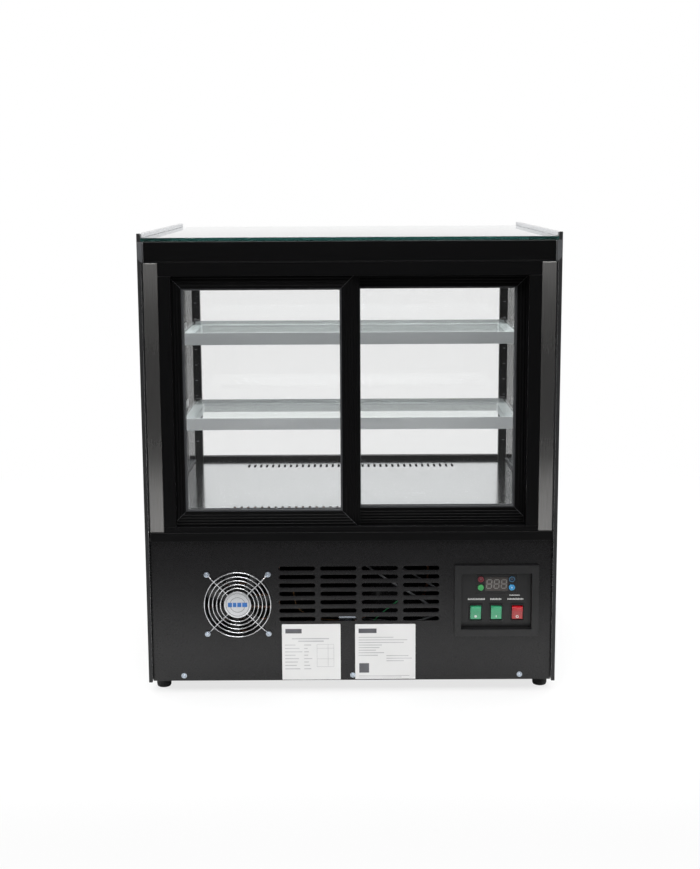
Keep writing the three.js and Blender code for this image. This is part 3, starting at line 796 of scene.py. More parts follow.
label("rating_label", *mm(-120, -19, 23, 122.5))
label("address_label", *mm(6, 110, 23.5, 122))
print_y = panel_low.y - LABEL_LIFT - 0.01 * MM
dark_print = [printed(*area) for area in ((-114, -86, 106, 114), (12, 43, 106, 114), (13, 30, 35, 52))]
grey_print = [printed(*area) for area in ((-103, -39, 95.5, 97.5), (-92, -48, 91, 93))]
for rows in (
    (-115, 86, 1.6, 6.1, (18, 25, 30, 18, 24, 22, 20, 26)), (-82, 86, 1.6, 6.1, (12, 6, 8, 7, 14, 8, 10, 12)),
    (12, 99, 1.3, 4.6, (60, 84, 78, 40, 36, 30, 44, 33)), (60, 66, 1.3, 4.6, (38, 44, 30)),
    (12, 30, 1.0, 2.6, (88, 74)),
):
    grey_print += print_rows(*rows)
grey_print += [printed(x, x + 0.5, 46, 86) for x in (-60, -41, -31)]
grey_print += [printed(-60, -31, z, z + 0.5) for z in (46, 60, 79, 86)]
piece("label_dark_print", gather(*dark_print), label_ink)
piece("label_grey_print", gather(*grey_print), faint_ink)
print("labels made")

# %% [markdown]
# ## The condenser fan
# An axial fan is a square plastic housing with a round bore, a hub on four struts, and seven
# curved, twisted blades. A chrome wire guard stands in front of it on four screws. The blades are
# grown from one strip: subdivided along its span, then each station is turned a little more, as
# a real blade's pitch grows towards the hub.


# %% Fan housing and rotor
FAN_BLADES = 7


def fan_housing(size, depth, bore, hub, hole_span):
    """An axial fan body, its front at z 0 and its struts at the back."""
    corners = [(sx * hole_span / 2, sy * hole_span / 2) for sx in (-1, 1) for sy in (-1, 1)]
    screw_holes = [(c, mm(4.4, 4.4), 2.2 * MM, 16) for c in corners]
    outline = ((0, 0), (size, size), 5 * MM, 40)
    round_bore = ((0, 0), (2 * bore, 2 * bore), bore, 96)
    flange = 4 * MM
    front = sheet(outline, [round_bore, *screw_holes], flange, 0.6 * MM)
    back = moved(sheet(outline, [round_bore, *screw_holes], flange), (0, 0, flange - depth))
    wall = bore + 2.2 * MM
    section = [(bore, -flange), (wall, -flange), (wall, flange - depth), (bore, flange - depth)]
    duct = turned(section, 96, closed=True)
    motor = moved(turned([(0, 0), (hub, 0), (hub, 3 * MM), mm(0, 3)], 48), (0, 0, -depth))
    struts = []
    for quarter in range(4):
        strut = bar((hub - 1 * MM, -2.4 * MM, -depth), (bore + 1 * MM, 2.4 * MM, -depth + 3 * MM))
        struts.append(moved(soften(strut, 0.6 * MM), angle=math.pi / 4 + quarter * math.pi / 2))
    return gather(front, back, duct, motor, *struts)


def fan_rotor(depth, bore, hub):
    """Hub and blades, centred on the axis, the hub's face towards +Z."""
    cup = [
        (0, -depth + 4.5 * MM), (hub - 0.5 * MM, -depth + 4.5 * MM), (hub, -depth + 5 * MM),
        (hub, -2.6 * MM), (hub - 1.1 * MM, -1.5 * MM), mm(0, -1.5),
    ]
    parts = [turned(cup, 64)]
    span = bore - 2.2 * MM - (hub - 1.5 * MM)
    for index in range(FAN_BLADES):
        bm = bmesh.new()
        bmesh.ops.create_grid(bm, x_segments=10, y_segments=6, size=0.5)
        bmesh.ops.scale(bm, vec=(span, 23 * MM, 1), verts=bm.verts)
        bmesh.ops.translate(bm, vec=(hub - 1.5 * MM + span / 2, 0, 0), verts=bm.verts)
        for vert in bm.verts:
            along = (vert.co.x - hub) / span
            across = vert.co.y / (11.5 * MM)
            vert.co.y *= 0.8 + 0.35 * along
            vert.co.z = 1.8 * MM * (1 - across * across)
            vert.co.y += 3.5 * MM * along * along
            vert.co = Matrix.Rotation(math.radians(42 - 12 * along), 3, "X") @ vert.co
        bmesh.ops.solidify(bm, geom=bm.faces[:], thickness=1.3 * MM)
        bmesh.ops.recalc_face_normals(bm, faces=bm.faces)
        inner, outer = hub - 2 * MM, bore - 1.6 * MM
        for vert in bm.verts:
            radius = math.hypot(vert.co.x, vert.co.y)
            held = min(max(radius, inner), outer)
            vert.co.x *= held / radius
            vert.co.y *= held / radius
            vert.co.z = min(max(vert.co.z, -7.2 * MM), 8.6 * MM)
        bmesh.ops.translate(bm, vec=(0, 0, -depth / 2 + 1.2 * MM), verts=bm.verts)
        parts.append(moved(bm, angle=index * 2 * math.pi / FAN_BLADES))
    return gather(*parts)


FAN_BORE = 57.5 * MM
FAN_HUB = 21 * MM
FAN_HOLES = 105 * MM
fan_size = fan_high.x - fan_low.x
fan_depth = fan_high.y - fan_low.y
fan_place = (fan_centre.x, fan_low.y, fan_centre.z)
bm = faced(fan_housing(fan_size, fan_depth, FAN_BORE, FAN_HUB, FAN_HOLES), fan_place)
piece("fan_housing", bm, fan_plastic, "case", ["condenser_fan_frame"])
bm = faced(fan_rotor(fan_depth, FAN_BORE, FAN_HUB), fan_place)
piece("fan_rotor", bm, fan_plastic, "condenser_rotor", ["condenser_fan_rotor"])
print("fan size", fan_size, "depth", fan_depth)

# %% [markdown]
# The guard is spot-welded wire: five rings, a stamped disc in the middle and four spokes whose ends
# are bent into eyelets under the screw heads. The rings lie in front of the spokes, so the wires
# touch as welded wires do.

# %% Wire guard
GUARD_RINGS = [r * MM for r in (56.9, 49.5, 42.7, 35.9, 29.4)]
GUARD_WIRE = 1.6 * MM
GUARD_HUB = 23.2 * MM
ring_plane = (panel_low.y - low_high("condenser_fan_guard")[0].y) - 1.2 * MM
spoke_plane = ring_plane - GUARD_WIRE * 0.9
screw_reach = FAN_HOLES / math.sqrt(2)

parts = [moved(ring_of(r, GUARD_WIRE), (0, 0, ring_plane)) for r in GUARD_RINGS]
for quarter in range(4):
    heading = math.pi / 4 + quarter * math.pi / 2
    leg = [
        (GUARD_HUB - 3 * MM, 0, spoke_plane), (40 * MM, 0, spoke_plane), (60 * MM, 0, spoke_plane),
        (65 * MM, 0, spoke_plane - 0.3 * MM), mm(68, 0, 1.3), (screw_reach - 3.6 * MM, 0, 1.1 * MM),
    ]
    parts.append(moved(wire(leg, GUARD_WIRE / 2), angle=heading))
    eyelet = moved(ring_of(3.4 * MM, GUARD_WIRE, 32, 8), (screw_reach, 0, 1.1 * MM))
    parts.append(moved(eyelet, angle=heading))
hub_profile = [
    (0, ring_plane - 0.2 * MM), (21 * MM, ring_plane - 0.2 * MM), (GUARD_HUB - 1 * MM, ring_plane - 0.3 * MM),
    (GUARD_HUB, ring_plane - 0.8 * MM), (GUARD_HUB, ring_plane - 1.3 * MM), (0, ring_plane - 1.5 * MM),
]
disc = turned(hub_profile, 96)
guard_place = (fan_centre.x, panel_low.y, fan_centre.z)
bm = faced(gather(*parts), guard_place)
piece("fan_guard_wires", bm, chrome, "case", ["condenser_fan_guard"], 60)
piece("fan_guard_disc", faced(disc, guard_place), silver_foil, "case")

BADGE_RINGS = mm(19.6, 12.6)
BADGE_HALF = 3.8 * MM
ring_print = []
for radius in BADGE_RINGS:
    outer = radius + 0.6 * MM
    ring = turned([(radius, 0), (outer, 0), (outer, 0.05 * MM), (radius, 0.05 * MM)], 64, closed=True)
    ring_print.append(faced(ring, (fan_centre.x, panel_low.y - ring_plane + 0.21 * MM, fan_centre.z)))
piece("fan_disc_rings", gather(*ring_print), label_ink)
blue_print = skin_finish("blue_print", (0.03, 0.14, 0.42), 0.5, 0.6 * MM, 0.002 * MM)
badge = []
for x0, x1 in ((-16.5, -9.5), (-8.0, -2.0), (-0.5, 6.5), (8.0, 16.5)):
    x = (fan_centre.x + x0 * MM, fan_centre.x + x1 * MM)
    z = (fan_centre.z - BADGE_HALF, fan_centre.z + BADGE_HALF)
    badge.append(flat_bar(*x, *z, panel_low.y - ring_plane + 0.15 * MM, 0.06 * MM))
piece("fan_disc_badge", gather(*badge), blue_print)

screws = []
for quarter in range(4):
    heading = math.pi / 4 + quarter * math.pi / 2
    x = fan_centre.x + screw_reach * math.cos(heading)
    z = fan_centre.z + screw_reach * math.sin(heading)
    screws.append(driven_in(cross_screw(4.7 * MM, 2.6 * MM), x, panel_low.y - 2.1 * MM, z, quarter * 1.3))
piece("fan_screws", gather(*screws), zinc, "case")
print("guard rings:", len(GUARD_RINGS))

# %% [markdown]
# ## Control panel
# A moulded frame is screwed over the opening, with a recessed plate that holds a small temperature
# controller and three rocker switches. The controller has three seven-segment digits behind a
# smoked lens and four round keys. Every key and rocker is its own piece on its own body, because
# they move.

# %% Frame: a flange on the panel and a sleeve behind it
CONTROL_OPENING = (mm(248.5, 162.5), mm(121, 99), 1.5 * MM, 16)
FLANGE_DEPTH = 5.7 * MM
SLEEVE_INSET = 7 * MM


def grown(shape, amount):
    """The same outline, larger by amount on every side."""
    centre, size, corner, segments = shape
    return centre, (size[0] + 2 * amount, size[1] + 2 * amount), corner + max(amount, 0), segments


frame_size = (control_high.x - control_low.x, control_high.z - control_low.z)
frame_outline = ((control_centre.x, control_centre.z), frame_size, 2.0 * MM, 16)
flange = upright(sheet(frame_outline, [CONTROL_OPENING], FLANGE_DEPTH, 1.3 * MM), control_low.y)
sleeve = sheet(grown(frame_outline, -SLEEVE_INSET), [CONTROL_OPENING], control_high.y - panel_low.y)
frame_parts = gather(flange, upright(sleeve, panel_low.y))
piece("control_surround", frame_parts, panel_plastic, "case", ["control_frame"])

# %% Plate with its switch bezels
SWITCH_MIDDLE = 139.6 * MM
BEZEL = mm(24, 31)
BEZEL_POCKET = mm(19.8, 26)
BEZEL_PROUD = 2.5 * MM

plate_low, plate_high = low_high("control_plate")
plate_face = plate_low.y + BEZEL_PROUD
controller_low, controller_high = low_high("temperature_controller")
controller_centre = ((controller_low.x + controller_high.x) / 2, (controller_low.z + controller_high.z) / 2)
controller_size = (controller_high.x - controller_low.x, controller_high.z - controller_low.z)
switch_places = []
for node in ("light_rocker", "fan_rocker", "power_rocker"):
    rocker_low, rocker_high = low_high(node)
    switch_places.append(((rocker_low.x + rocker_high.x) / 2, SWITCH_MIDDLE))
pockets = [(spot, BEZEL_POCKET, 1.0 * MM, 16) for spot in switch_places]
window = (controller_centre, (controller_size[0] + 0.6 * MM, controller_size[1] + 0.6 * MM), 0.8 * MM, 8)
plate_thick = 3 * MM
plate = sheet(grown(CONTROL_OPENING, -0.3 * MM), [*pockets, window], plate_thick)
parts = [upright(plate, plate_face)]
for spot in switch_places:
    pocket = (spot, BEZEL_POCKET, 1.2 * MM, 24)
    bezel = sheet((spot, BEZEL, 2.2 * MM, 24), [pocket], plate_high.y - plate_low.y, 0.8 * MM)
    parts.append(upright(bezel, plate_low.y))
piece("switch_plate", gather(*parts), panel_plastic, "case", ["control_plate"])

# %% Controller: a black fascia with key wells, and a smoked lens
KEY_NODES = ("button_up", "button_set", "button_down", "button_power")
KEY_WELL_DEPTH = 4 * MM
LENS = (mm(249.5, 190), mm(39, 24), 1.2 * MM, 24)
LENS_PROUD = 0.6 * MM

fascia_y = controller_low.y + LENS_PROUD
wells = []
for node in KEY_NODES:
    key_low, key_high = low_high(node)
    well_size = key_high.x - key_low.x + 0.8 * MM
    spot = ((key_low.x + key_high.x) / 2, (key_low.z + key_high.z) / 2)
    wells.append((spot, (well_size, well_size), well_size / 2, 40))
fascia_outline = (controller_centre, controller_size, 1.0 * MM, 16)
fascia = upright(sheet(fascia_outline, wells, KEY_WELL_DEPTH, 0.35 * MM), fascia_y)
back = bar(
    (controller_low.x + 1 * MM, fascia_y + KEY_WELL_DEPTH, controller_low.z + 1 * MM),
    (controller_high.x - 1 * MM, controller_high.y, controller_high.z - 1 * MM),
)
fascia_black = skin_finish("fascia_black", (0.0055, 0.0055, 0.006), 0.33, 0.4 * MM, 0.006 * MM, 0.15)
body_parts = gather(fascia, soften(back, 0.8 * MM))
piece("controller_body", body_parts, fascia_black, "case", ["temperature_controller"])
smoked_lens = skin_finish("smoked_lens", (0.062, 0.055, 0.051), 0.24, 1.5 * MM, 0.002 * MM, 0.08)
lens = upright(sheet(LENS, [], LENS_PROUD - 0.05 * MM, 0.25 * MM), controller_low.y)
piece("controller_lens", lens, smoked_lens, "case")
print("key wells:", len(wells))

# %% Digits
DIGIT_SIZE = mm(8.2, 15.2)
DIGIT_PITCH = 12.6 * MM
DIGIT_LEAN = math.radians(4)
SEGMENT = 1.9 * MM
SEGMENT_GAP = 1.2 * MM

lens_face = controller_low.y
display_centre = LENS[0]


def segment(x, z, length, upright_way):
    """One bar of a digit, its ends pointed by a chamfer."""
    size = (SEGMENT, length) if upright_way else (length, SEGMENT)
    half = (size[0] / 2, size[1] / 2)
    bm = flat_bar(x - half[0], x + half[0], z - half[1], z + half[1], lens_face - 0.02 * MM, 0.1 * MM)
    corners = [e for e in bm.edges if abs(e.verts[0].co.y - e.verts[1].co.y) > 0.05 * MM]
    return soften(bm, SEGMENT * 0.42, 1, corners)


def digit(x):
    """All seven bars of a digit."""
    wide, high = DIGIT_SIZE
    bars = [segment(0, z, wide - SEGMENT_GAP, False) for z in (-high / 2, 0, high / 2)]
    for x_side in (-wide / 2, wide / 2):
        bars += [segment(x_side, z, high / 2 - SEGMENT_GAP, True) for z in (-high / 4, high / 4)]
    bm = gather(*bars)
    lean = Matrix.Identity(4)
    lean[0][2] = math.tan(DIGIT_LEAN)
    bmesh.ops.transform(bm, matrix=lean, verts=bm.verts)
    return moved(bm, (x, 0, display_centre[1]))


unlit_segment = skin_finish("unlit_segment", (0.19, 0.178, 0.168), 0.5, 0.5 * MM, 0.002 * MM, 0.15)
digits = gather(*[digit(display_centre[0] + i * DIGIT_PITCH) for i in (-1, 0, 1)])
piece("display_digits", digits, unlit_segment, "case")

# %% Keys
CAP_EDGE = ((0, -0.5), (-0.15, -0.2), (-0.5, -0.05), (-1.2, -0.1), (-1.8, -0.4))
RIM_SECTION = ((-1.2, -0.06), (-0.45, -0.02), (-0.45, 0), (-1.2, -0.03))
MARK_RADIUS = 1.5 * MM
KEYS = {
    "button_up": ("up_key", (0.17, 0.016, 0.026), (0.30, 0.05, 0.07), "dark_red_button"),
    "button_set": ("set_key", (0.05, 0.36, 0.10), (0.10, 0.46, 0.16), "green_button"),
    "button_down": ("down_key", (0.008, 0.025, 0.055), (0.10, 0.28, 0.46), "navy_button"),
    "button_power": ("power_key", (0.03, 0.28, 0.60), (0.10, 0.42, 0.72), "blue_button"),
}
for node, (body, colour, rim_colour, slot) in KEYS.items():
    low, high = low_high(node)
    middle = (low + high) / 2
    radius = (high.x - low.x) / 2
    face = low.y
    cap_material = skin_finish(f"{body}_cap", colour, 0.35, 0.5 * MM, 0.004 * MM, 0.12)
    rim_material = skin_finish(f"{body}_rim", rim_colour, 0.35, 0.5 * MM, 0.004 * MM, 0.12)
    deep = high.y - face
    edge = [(radius + r * MM, z * MM) for r, z in CAP_EDGE]
    cap = turned([(0, -deep), (radius, -deep), *edge, mm(0, -0.3)], 40)
    piece(f"{body}_cap", faced(cap, (middle.x, face, middle.z)), cap_material, body, [node])
    rim = turned([(radius + r * MM, z * MM) for r, z in RIM_SECTION], 40, closed=True)
    piece(f"{body}_rim", faced(rim, (middle.x, face, middle.z)), rim_material, body)

mark_tint = skin_finish("key_mark", (0.50, 0.62, 0.72), 0.5, 0.6 * MM, 0.002 * MM, 0.1)


def key_mark(node, body, sides, turn):
    """A small flat mark on a key: three sides make an arrow head, many a dot."""
    low, high = low_high(node)
    bm = bmesh.new()
    size = {"radius1": MARK_RADIUS, "radius2": MARK_RADIUS, "depth": 0.05 * MM}
    bmesh.ops.create_cone(bm, cap_ends=True, segments=sides, **size)
    middle = (low + high) / 2
    faced(moved(bm, angle=turn), (middle.x, low.y + 0.25 * MM, middle.z))
    piece(f"{body}_mark", bm, mark_tint if body == "power_key" else unlit_segment, body)


key_mark("button_up", "up_key", 3, math.radians(90))
key_mark("button_down", "down_key", 3, math.radians(-90))
key_mark("button_power", "power_key", 24, 0.0)
print("keys:", len(KEYS))

# %% [markdown]
# The rockers are clear tinted plastic. A gradient along Z on Object coordinates paints light and
# shade onto their two leaning faces: a painted glow, deeper at the top where they lean back, and a
# painted paler light at the bottom. A thin coat gives them the gloss of moulded plastic.

# %% Rockers
ROCKER_HALF = 11 * MM
MARK_LIFT = 0.05 * MM


def rocker_painted_light_finish(name, bottom, middle, top):
    """Tinted plastic with painted light and shade, its colour changing from the rocker's bottom to its top.
    """
    material = finish(name, middle, 0.28, Coat_Weight=0.25, Coat_Roughness=0.12)
    tree = material.node_tree
    place = add_node(tree, "TexCoord")
    split = add_node(tree, "SeparateXYZ")
    height = add_node(tree, "MapRange", **{
        "From Min": SWITCH_MIDDLE - ROCKER_HALF, "From Max": SWITCH_MIDDLE + ROCKER_HALF,
    })
    ramp = add_node(tree, "ValToRGB")
    # These stops are painted light and shade: deeper and glowing at the top, paler at the bottom.
    set_ramp(ramp, [(0.0, bottom), (0.62, middle), (0.76, top)])
    tree.links.new(place.outputs["Object"], split.inputs[0])
    tree.links.new(split.outputs["Z"], height.inputs["Value"])
    tree.links.new(height.outputs["Result"], ramp.inputs["Fac"])
    shader = tree.nodes["Principled BSDF"]
    tree.links.new(ramp.outputs["Color"], shader.inputs["Base Color"])
    fine = grain(material, 0.6 * MM)
    drive(material, "Roughness", fine, 0.22, 0.34)
    emboss(material, fine, 0.004 * MM)
    return material


green_rocker = rocker_painted_light_finish("green_rocker", (0.075, 0.36, 0.19), (0.050, 0.34, 0.17), (0.040, 0.36, 0.17))
red_rocker = rocker_painted_light_finish("red_rocker", (0.42, 0.045, 0.045), (0.36, 0.022, 0.026), (0.50, 0.003, 0.010))
ROCKERS = {
    "light_rocker": ("light_switch", green_rocker, "green_rocker"),
    "fan_rocker": ("fan_switch", green_rocker, "green_rocker"),
    "power_rocker": ("power_switch", red_rocker, "red_rocker"),
}
for node, (body, material, slot) in ROCKERS.items():
    piece(f"{body}_rocker", soften(from_cad(node), 0.55 * MM, 3), material, body, [node])


def rocker_face(node):
    """The middle of a rocker's lower face, and how far that face leans."""
    copy = from_cad(node)
    faces = [f for f in copy.faces if f.normal.y < -0.7 and f.calc_center_median().z < SWITCH_MIDDLE]
    largest = max(faces, key=lambda f: f.calc_area())
    centre, normal = largest.calc_center_median().copy(), largest.normal.copy()
    copy.free()
    return centre, normal


def on_face(bm, centre, normal):
    """Lays a flat mark, made on +Z, on a rocker's face."""
    bmesh.ops.rotate(bm, cent=(0, 0, 0), matrix=normal.to_track_quat("Z", "Y").to_matrix(), verts=bm.verts)
    bmesh.ops.translate(bm, vec=centre + normal * MARK_LIFT, verts=bm.verts)
    return bm


mark_white = skin_finish("rocker_mark", (0.72, 0.76, 0.72), 0.45, 0.4 * MM, 0.002 * MM, 0.1)
centre, normal = rocker_face("light_rocker")
dot = turned([mm(0, -0.1), mm(2.3, -0.1), mm(2.3, 0.02), mm(1.4, 0.15), mm(0, 0.2)], 32)
piece("light_switch_mark", on_face(dot, centre - Vector(mm(0, 0, 0.6)), normal), mark_white, "light_switch")
centre, normal = rocker_face("fan_rocker")
stroke = soften(bar(mm(-0.55, -2, -0.1), mm(0.55, 2, 0.1)), 0.08 * MM)
piece("fan_switch_mark", on_face(stroke, centre - Vector(mm(0, 0, 0.6)), normal), mark_white, "fan_switch")
centre, normal = rocker_face("power_rocker")
hoop = turned([
    mm(1.5, -0.1), mm(2.5, -0.1), mm(2.5, 0.1), mm(1.5, 0.1),
], 32, closed=True)
piece("power_switch_mark", on_face(hoop, centre - Vector(mm(0, 0, 1.2)), normal), mark_white, "power_switch")
print("rocker faces lean", [round(v, 3) for v in normal])

# %% Captions as plain dashes
CAPTION_DASH = 2.3 * MM
CAPTIONS = (
    (200.5, 230, 163.2, 3.0), (239, 258.5, 163.2, 3.0), (268.5, 296.5, 163.2, 3.0), (272, 290, 170.0, 2.0),
)


def dashes(x0, x1, z, height):
    """A row of short dashes between two places, as unreadable as worn print."""
    count = round((x1 - x0) / CAPTION_DASH)
    step = (x1 - x0) / count
    row = []
    for index in range(count):
        top = z + height * (0.5 - 0.18 * (index % 2))
        x = x0 + index * step
        row.append(flat_bar(x, x + 0.72 * step, z - height / 2, top, plate_face, 0.05 * MM))
    return row


captions = [dash for caption in CAPTIONS for dash in dashes(*mm(*caption))]
piece("control_captions", gather(*captions), caption_ink, "case")
print("caption dashes:", len(captions))

# %% [markdown]
# ## The cooling machine
# Behind the louvres sit the compressor, the condenser coil and their pipes. Little of it shows,
# but what glints between the slots tells that the base isn't empty. Fins are repeated plates with
# six faces each, pipes are curves, and the compressor is a turned shell on a stamped foot.

# %% Compressor
motor_low, motor_high = low_high("compressor")
COMPRESSOR_AXIS = mm(72, -150)
GROMMET = [mm(*p) for p in ((2.5, 0), (7, 0), (7, 4), (5, 5), (5, 9), (7, 10), (7, 13), (2.5, 13))]
DOME_STEPS = 9
shell_radius = 58 * MM
seam_radius = shell_radius + 2.6 * MM
floor_z = motor_low.z
seam_z = 82 * MM
can = [
    mm(0, 12), (shell_radius * 0.72, 12 * MM), (shell_radius * 0.9, 16 * MM),
    (shell_radius * 0.985, 26 * MM), (shell_radius * 0.99, seam_z - 2 * MM),
    (seam_radius, seam_z - 1.2 * MM), (seam_radius, seam_z + 1.2 * MM),
    (shell_radius * 0.99, seam_z + 2 * MM),
]
dome_top = motor_high.z - floor_z
for step in range(DOME_STEPS + 1):
    angle = step / DOME_STEPS * math.pi / 2
    rise = (dome_top - seam_z - 15 * MM) * math.sin(angle)
    can.append((shell_radius * 0.985 * math.cos(angle), seam_z + 14 * MM + rise))
parts = [turned(can, 64)]
plate = bar(mm(-66, -46, 0), mm(66, 46, 3))
corners = [e for e in plate.edges if abs(e.verts[0].co.z - e.verts[1].co.z) > 1 * MM]
parts.append(soften(plate, 8 * MM, 4, corners))
for sx in (-1, 1):
    for sy in (-1, 1):
        parts.append(moved(turned(GROMMET, 24, closed=True), (sx * 58 * MM, sy * 38 * MM, 0)))
box_x = -shell_radius - 22 * MM
terminal_box = bar((box_x, -24 * MM, seam_z - 37 * MM), (box_x + 26 * MM, 24 * MM, seam_z + 17 * MM))
parts.append(soften(terminal_box, 3 * MM, 3))
bm = moved(gather(*parts), (*COMPRESSOR_AXIS, floor_z))
piece("compressor_can", bm, compressor_paint, "case", ["compressor"])
print("compressor dome at", dome_top + floor_z)

# %% Condenser coil with its fins and return bends
coil_low, coil_high = low_high("condenser_coil")
FIN_PITCH = 2.4 * MM
TUBE_ROWS = 7
fins = []
fin_z0, fin_z1 = coil_low.z + 40 * MM, coil_low.z + 190 * MM
fin_x0, fin_x1 = coil_low.x + 7 * MM, coil_high.x - 7 * MM
count = int((fin_x1 - fin_x0) / FIN_PITCH)
for index in range(count):
    x = fin_x0 + index * FIN_PITCH
    fins.append(bar((x, coil_low.y + 5 * MM, fin_z0), (x + 0.35 * MM, coil_high.y - 5 * MM, fin_z1)))
for x in (coil_low.x + 1 * MM, coil_high.x - 3 * MM):
    fins.append(bar((x, coil_low.y + 1 * MM, coil_low.z), (x + 2 * MM, coil_high.y - 1 * MM, coil_high.z)))
piece("condenser_fins", gather(*fins), shaded_fin_aluminium, "case", ["condenser_coil"])

tubes = []
for row in range(TUBE_ROWS):
    z = fin_z0 + (row + 0.5) * (fin_z1 - fin_z0) / TUBE_ROWS
    for y in (coil_low.y + 15 * MM, coil_high.y - 15 * MM):
        ends = [(coil_low.x + 0.6 * MM, y, z), (coil_high.x - 0.6 * MM, y, z)]
        tubes.append(wire(ends, 3.4 * MM, 2, smooth=False))
piece("condenser_tubes", gather(*tubes), shaded_copper, "case")
print("fins:", count)

# %% Pipes, filter drier and wiring
PIPE = 3.0 * MM
DRIER_X = coil_high.x + 46 * MM


def from_place(x, y, *points):
    """A route in metres from points in millimetres, measured from a place on the floor."""
    return [(x + point[0] * MM, y + point[1] * MM, point[2] * MM) for point in points]


suction = from_place(
    *COMPRESSOR_AXIS, (40, 44, 96), (52, 60, 97), (70, 74, 120), (72, 80, 180), (60, 92, 214),
    (20, 120, 228), (-40, 150, 229),
)
discharge = from_place(
    *COMPRESSOR_AXIS, (-34, -46, 112), (-48, -66, 112), (-90, -80, 90), (-140, -84, 68), (-190, -84, 66),
)
liquid = from_place(
    coil_high.x, 0, (1, -225, 84), (30, -222, 84), (44, -200, 60), (46, -150, 44), (46, -60, 42),
)
pipes = [wire(route, PIPE, 3) for route in (suction, discharge, liquid)]
drier = turned([
    (0, 0), (PIPE, 0), (PIPE, 8 * MM), mm(9, 16), mm(9, 74), (PIPE, 84 * MM), (PIPE, 92 * MM), mm(0, 92),
], 32)
pipes.append(faced(drier, (DRIER_X, -20 * MM, 42 * MM)))
piece("refrigerant_pipes", gather(*pipes), shaded_copper, "case")

wire_orange = skin_finish("orange_wire", (0.17, 0.10, 0.045), 0.4, 2 * MM, 0.01 * MM)
wire_grey = skin_finish("grey_cable", (0.10, 0.105, 0.11), 0.45, 2 * MM, 0.01 * MM)
wire_green = skin_finish("green_wire", (0.05, 0.30, 0.12), 0.4, 2 * MM, 0.01 * MM)
LEADS = {
    "fan_lead": (0.9, wire_orange, [
        ((-101, -270, 176), (-99, -284, 166), (-97, -290, 158), (-91, -291, 146), (-82, -286, 138),
         (-60, -262, 120), (-22, -214, 102), (-10, -176, 96)),
    ]),
    "control_cables": (1.7, wire_grey, [
        ((178, -276, 150), (150, -284, 140), (110, -286, 168), (60, -282, 196), (20, -262, 220)),
        ((178, -272, 142), (140, -276, 124), (80, -262, 110), (4, -170, 96)),
        ((180, -268, 160), (130, -268, 186), (96, -270, 210), (40, -240, 229)),
    ]),
    "earth_lead": (1.1, wire_green, [((176, -280, 156), (120, -288, 172), (72, -288, 160), (20, -240, 90))]),
}
for name, (radius, material, routes) in LEADS.items():
    strands = [wire([mm(*point) for point in route], radius * MM, 2) for route in routes]
    piece(name, gather(*strands), material)
tie_plate = soften(bar(mm(-22, -292, 127), mm(9, -291, 135)), 0.4 * MM, 2)
stem = bar(mm(-14, -291.2, 60), mm(0, -290.4, 128))
foot = bar(mm(-14, -291.2, 24), mm(0, -276, 25))
riser = bar(mm(-14, -291.2, 24), mm(0, -290.4, 61))
piece("lead_bracket", gather(tie_plate, stem, riser, foot), zinc)

gland_low, gland_high = low_high("cable_gland")
gland_radius = (gland_high.x - gland_low.x) / 2
gland_length = gland_high.z - gland_low.z
nut_low = gland_length - 3.7 * MM
hexagon = [(5 * MM, nut_low), (gland_radius, nut_low), (gland_radius, gland_length), (5 * MM, gland_length)]
nut = turned(hexagon, 6, closed=True)
collar = turned([mm(5, 0), mm(7.4, 0), mm(9, 1.4), (9 * MM, nut_low), (5 * MM, nut_low)], 40, closed=True)
plug = turned([mm(0, 1.2), mm(5, 0.8), mm(5, 4), mm(0, 4)], 32)
middle = (gland_low + gland_high) / 2
bm = moved(gather(nut, collar, plug), (middle.x, middle.y, gland_low.z))
piece("cable_gland_nut", bm, panel_plastic, "case", ["cable_gland"])

# %% [markdown]
# ## Deck, well and cold coil
# The chamber's floor is a thin steel tray with two rows of slots: cold air comes up through the
# rear row and goes back down through the front row. Brushed steel reflects softly along its
# brush lines, so the black posts and the sill lie on the deck as blurred shadows.

# %% Slotted deck
deck_low, deck_high = low_high("deck_tray")
SLOT_ROWS_Y = mm(-179, 220)
SLOTS_PER_ROW = 35
SLOT_PITCH = 12.2 * MM
SLOT_SIZE = mm(4.5, 32)
deck_size = deck_high - deck_low
deck_middle = (deck_high + deck_low) / 2
slots = []
for y in SLOT_ROWS_Y:
    for index in range(SLOTS_PER_ROW):
        x = (index - (SLOTS_PER_ROW - 1) / 2) * SLOT_PITCH
        slots.append(((x, y), SLOT_SIZE, SLOT_SIZE[0] / 2, 12))
deck = sheet(((0, deck_middle.y), (deck_size.x, deck_size.y), 2 * MM, 12), slots, deck_size.z, 0.3 * MM)
piece("slotted_deck", moved(deck, (0, 0, deck_high.z)), deck_steel, "case", ["deck_tray"])
print("deck slots:", len(slots))

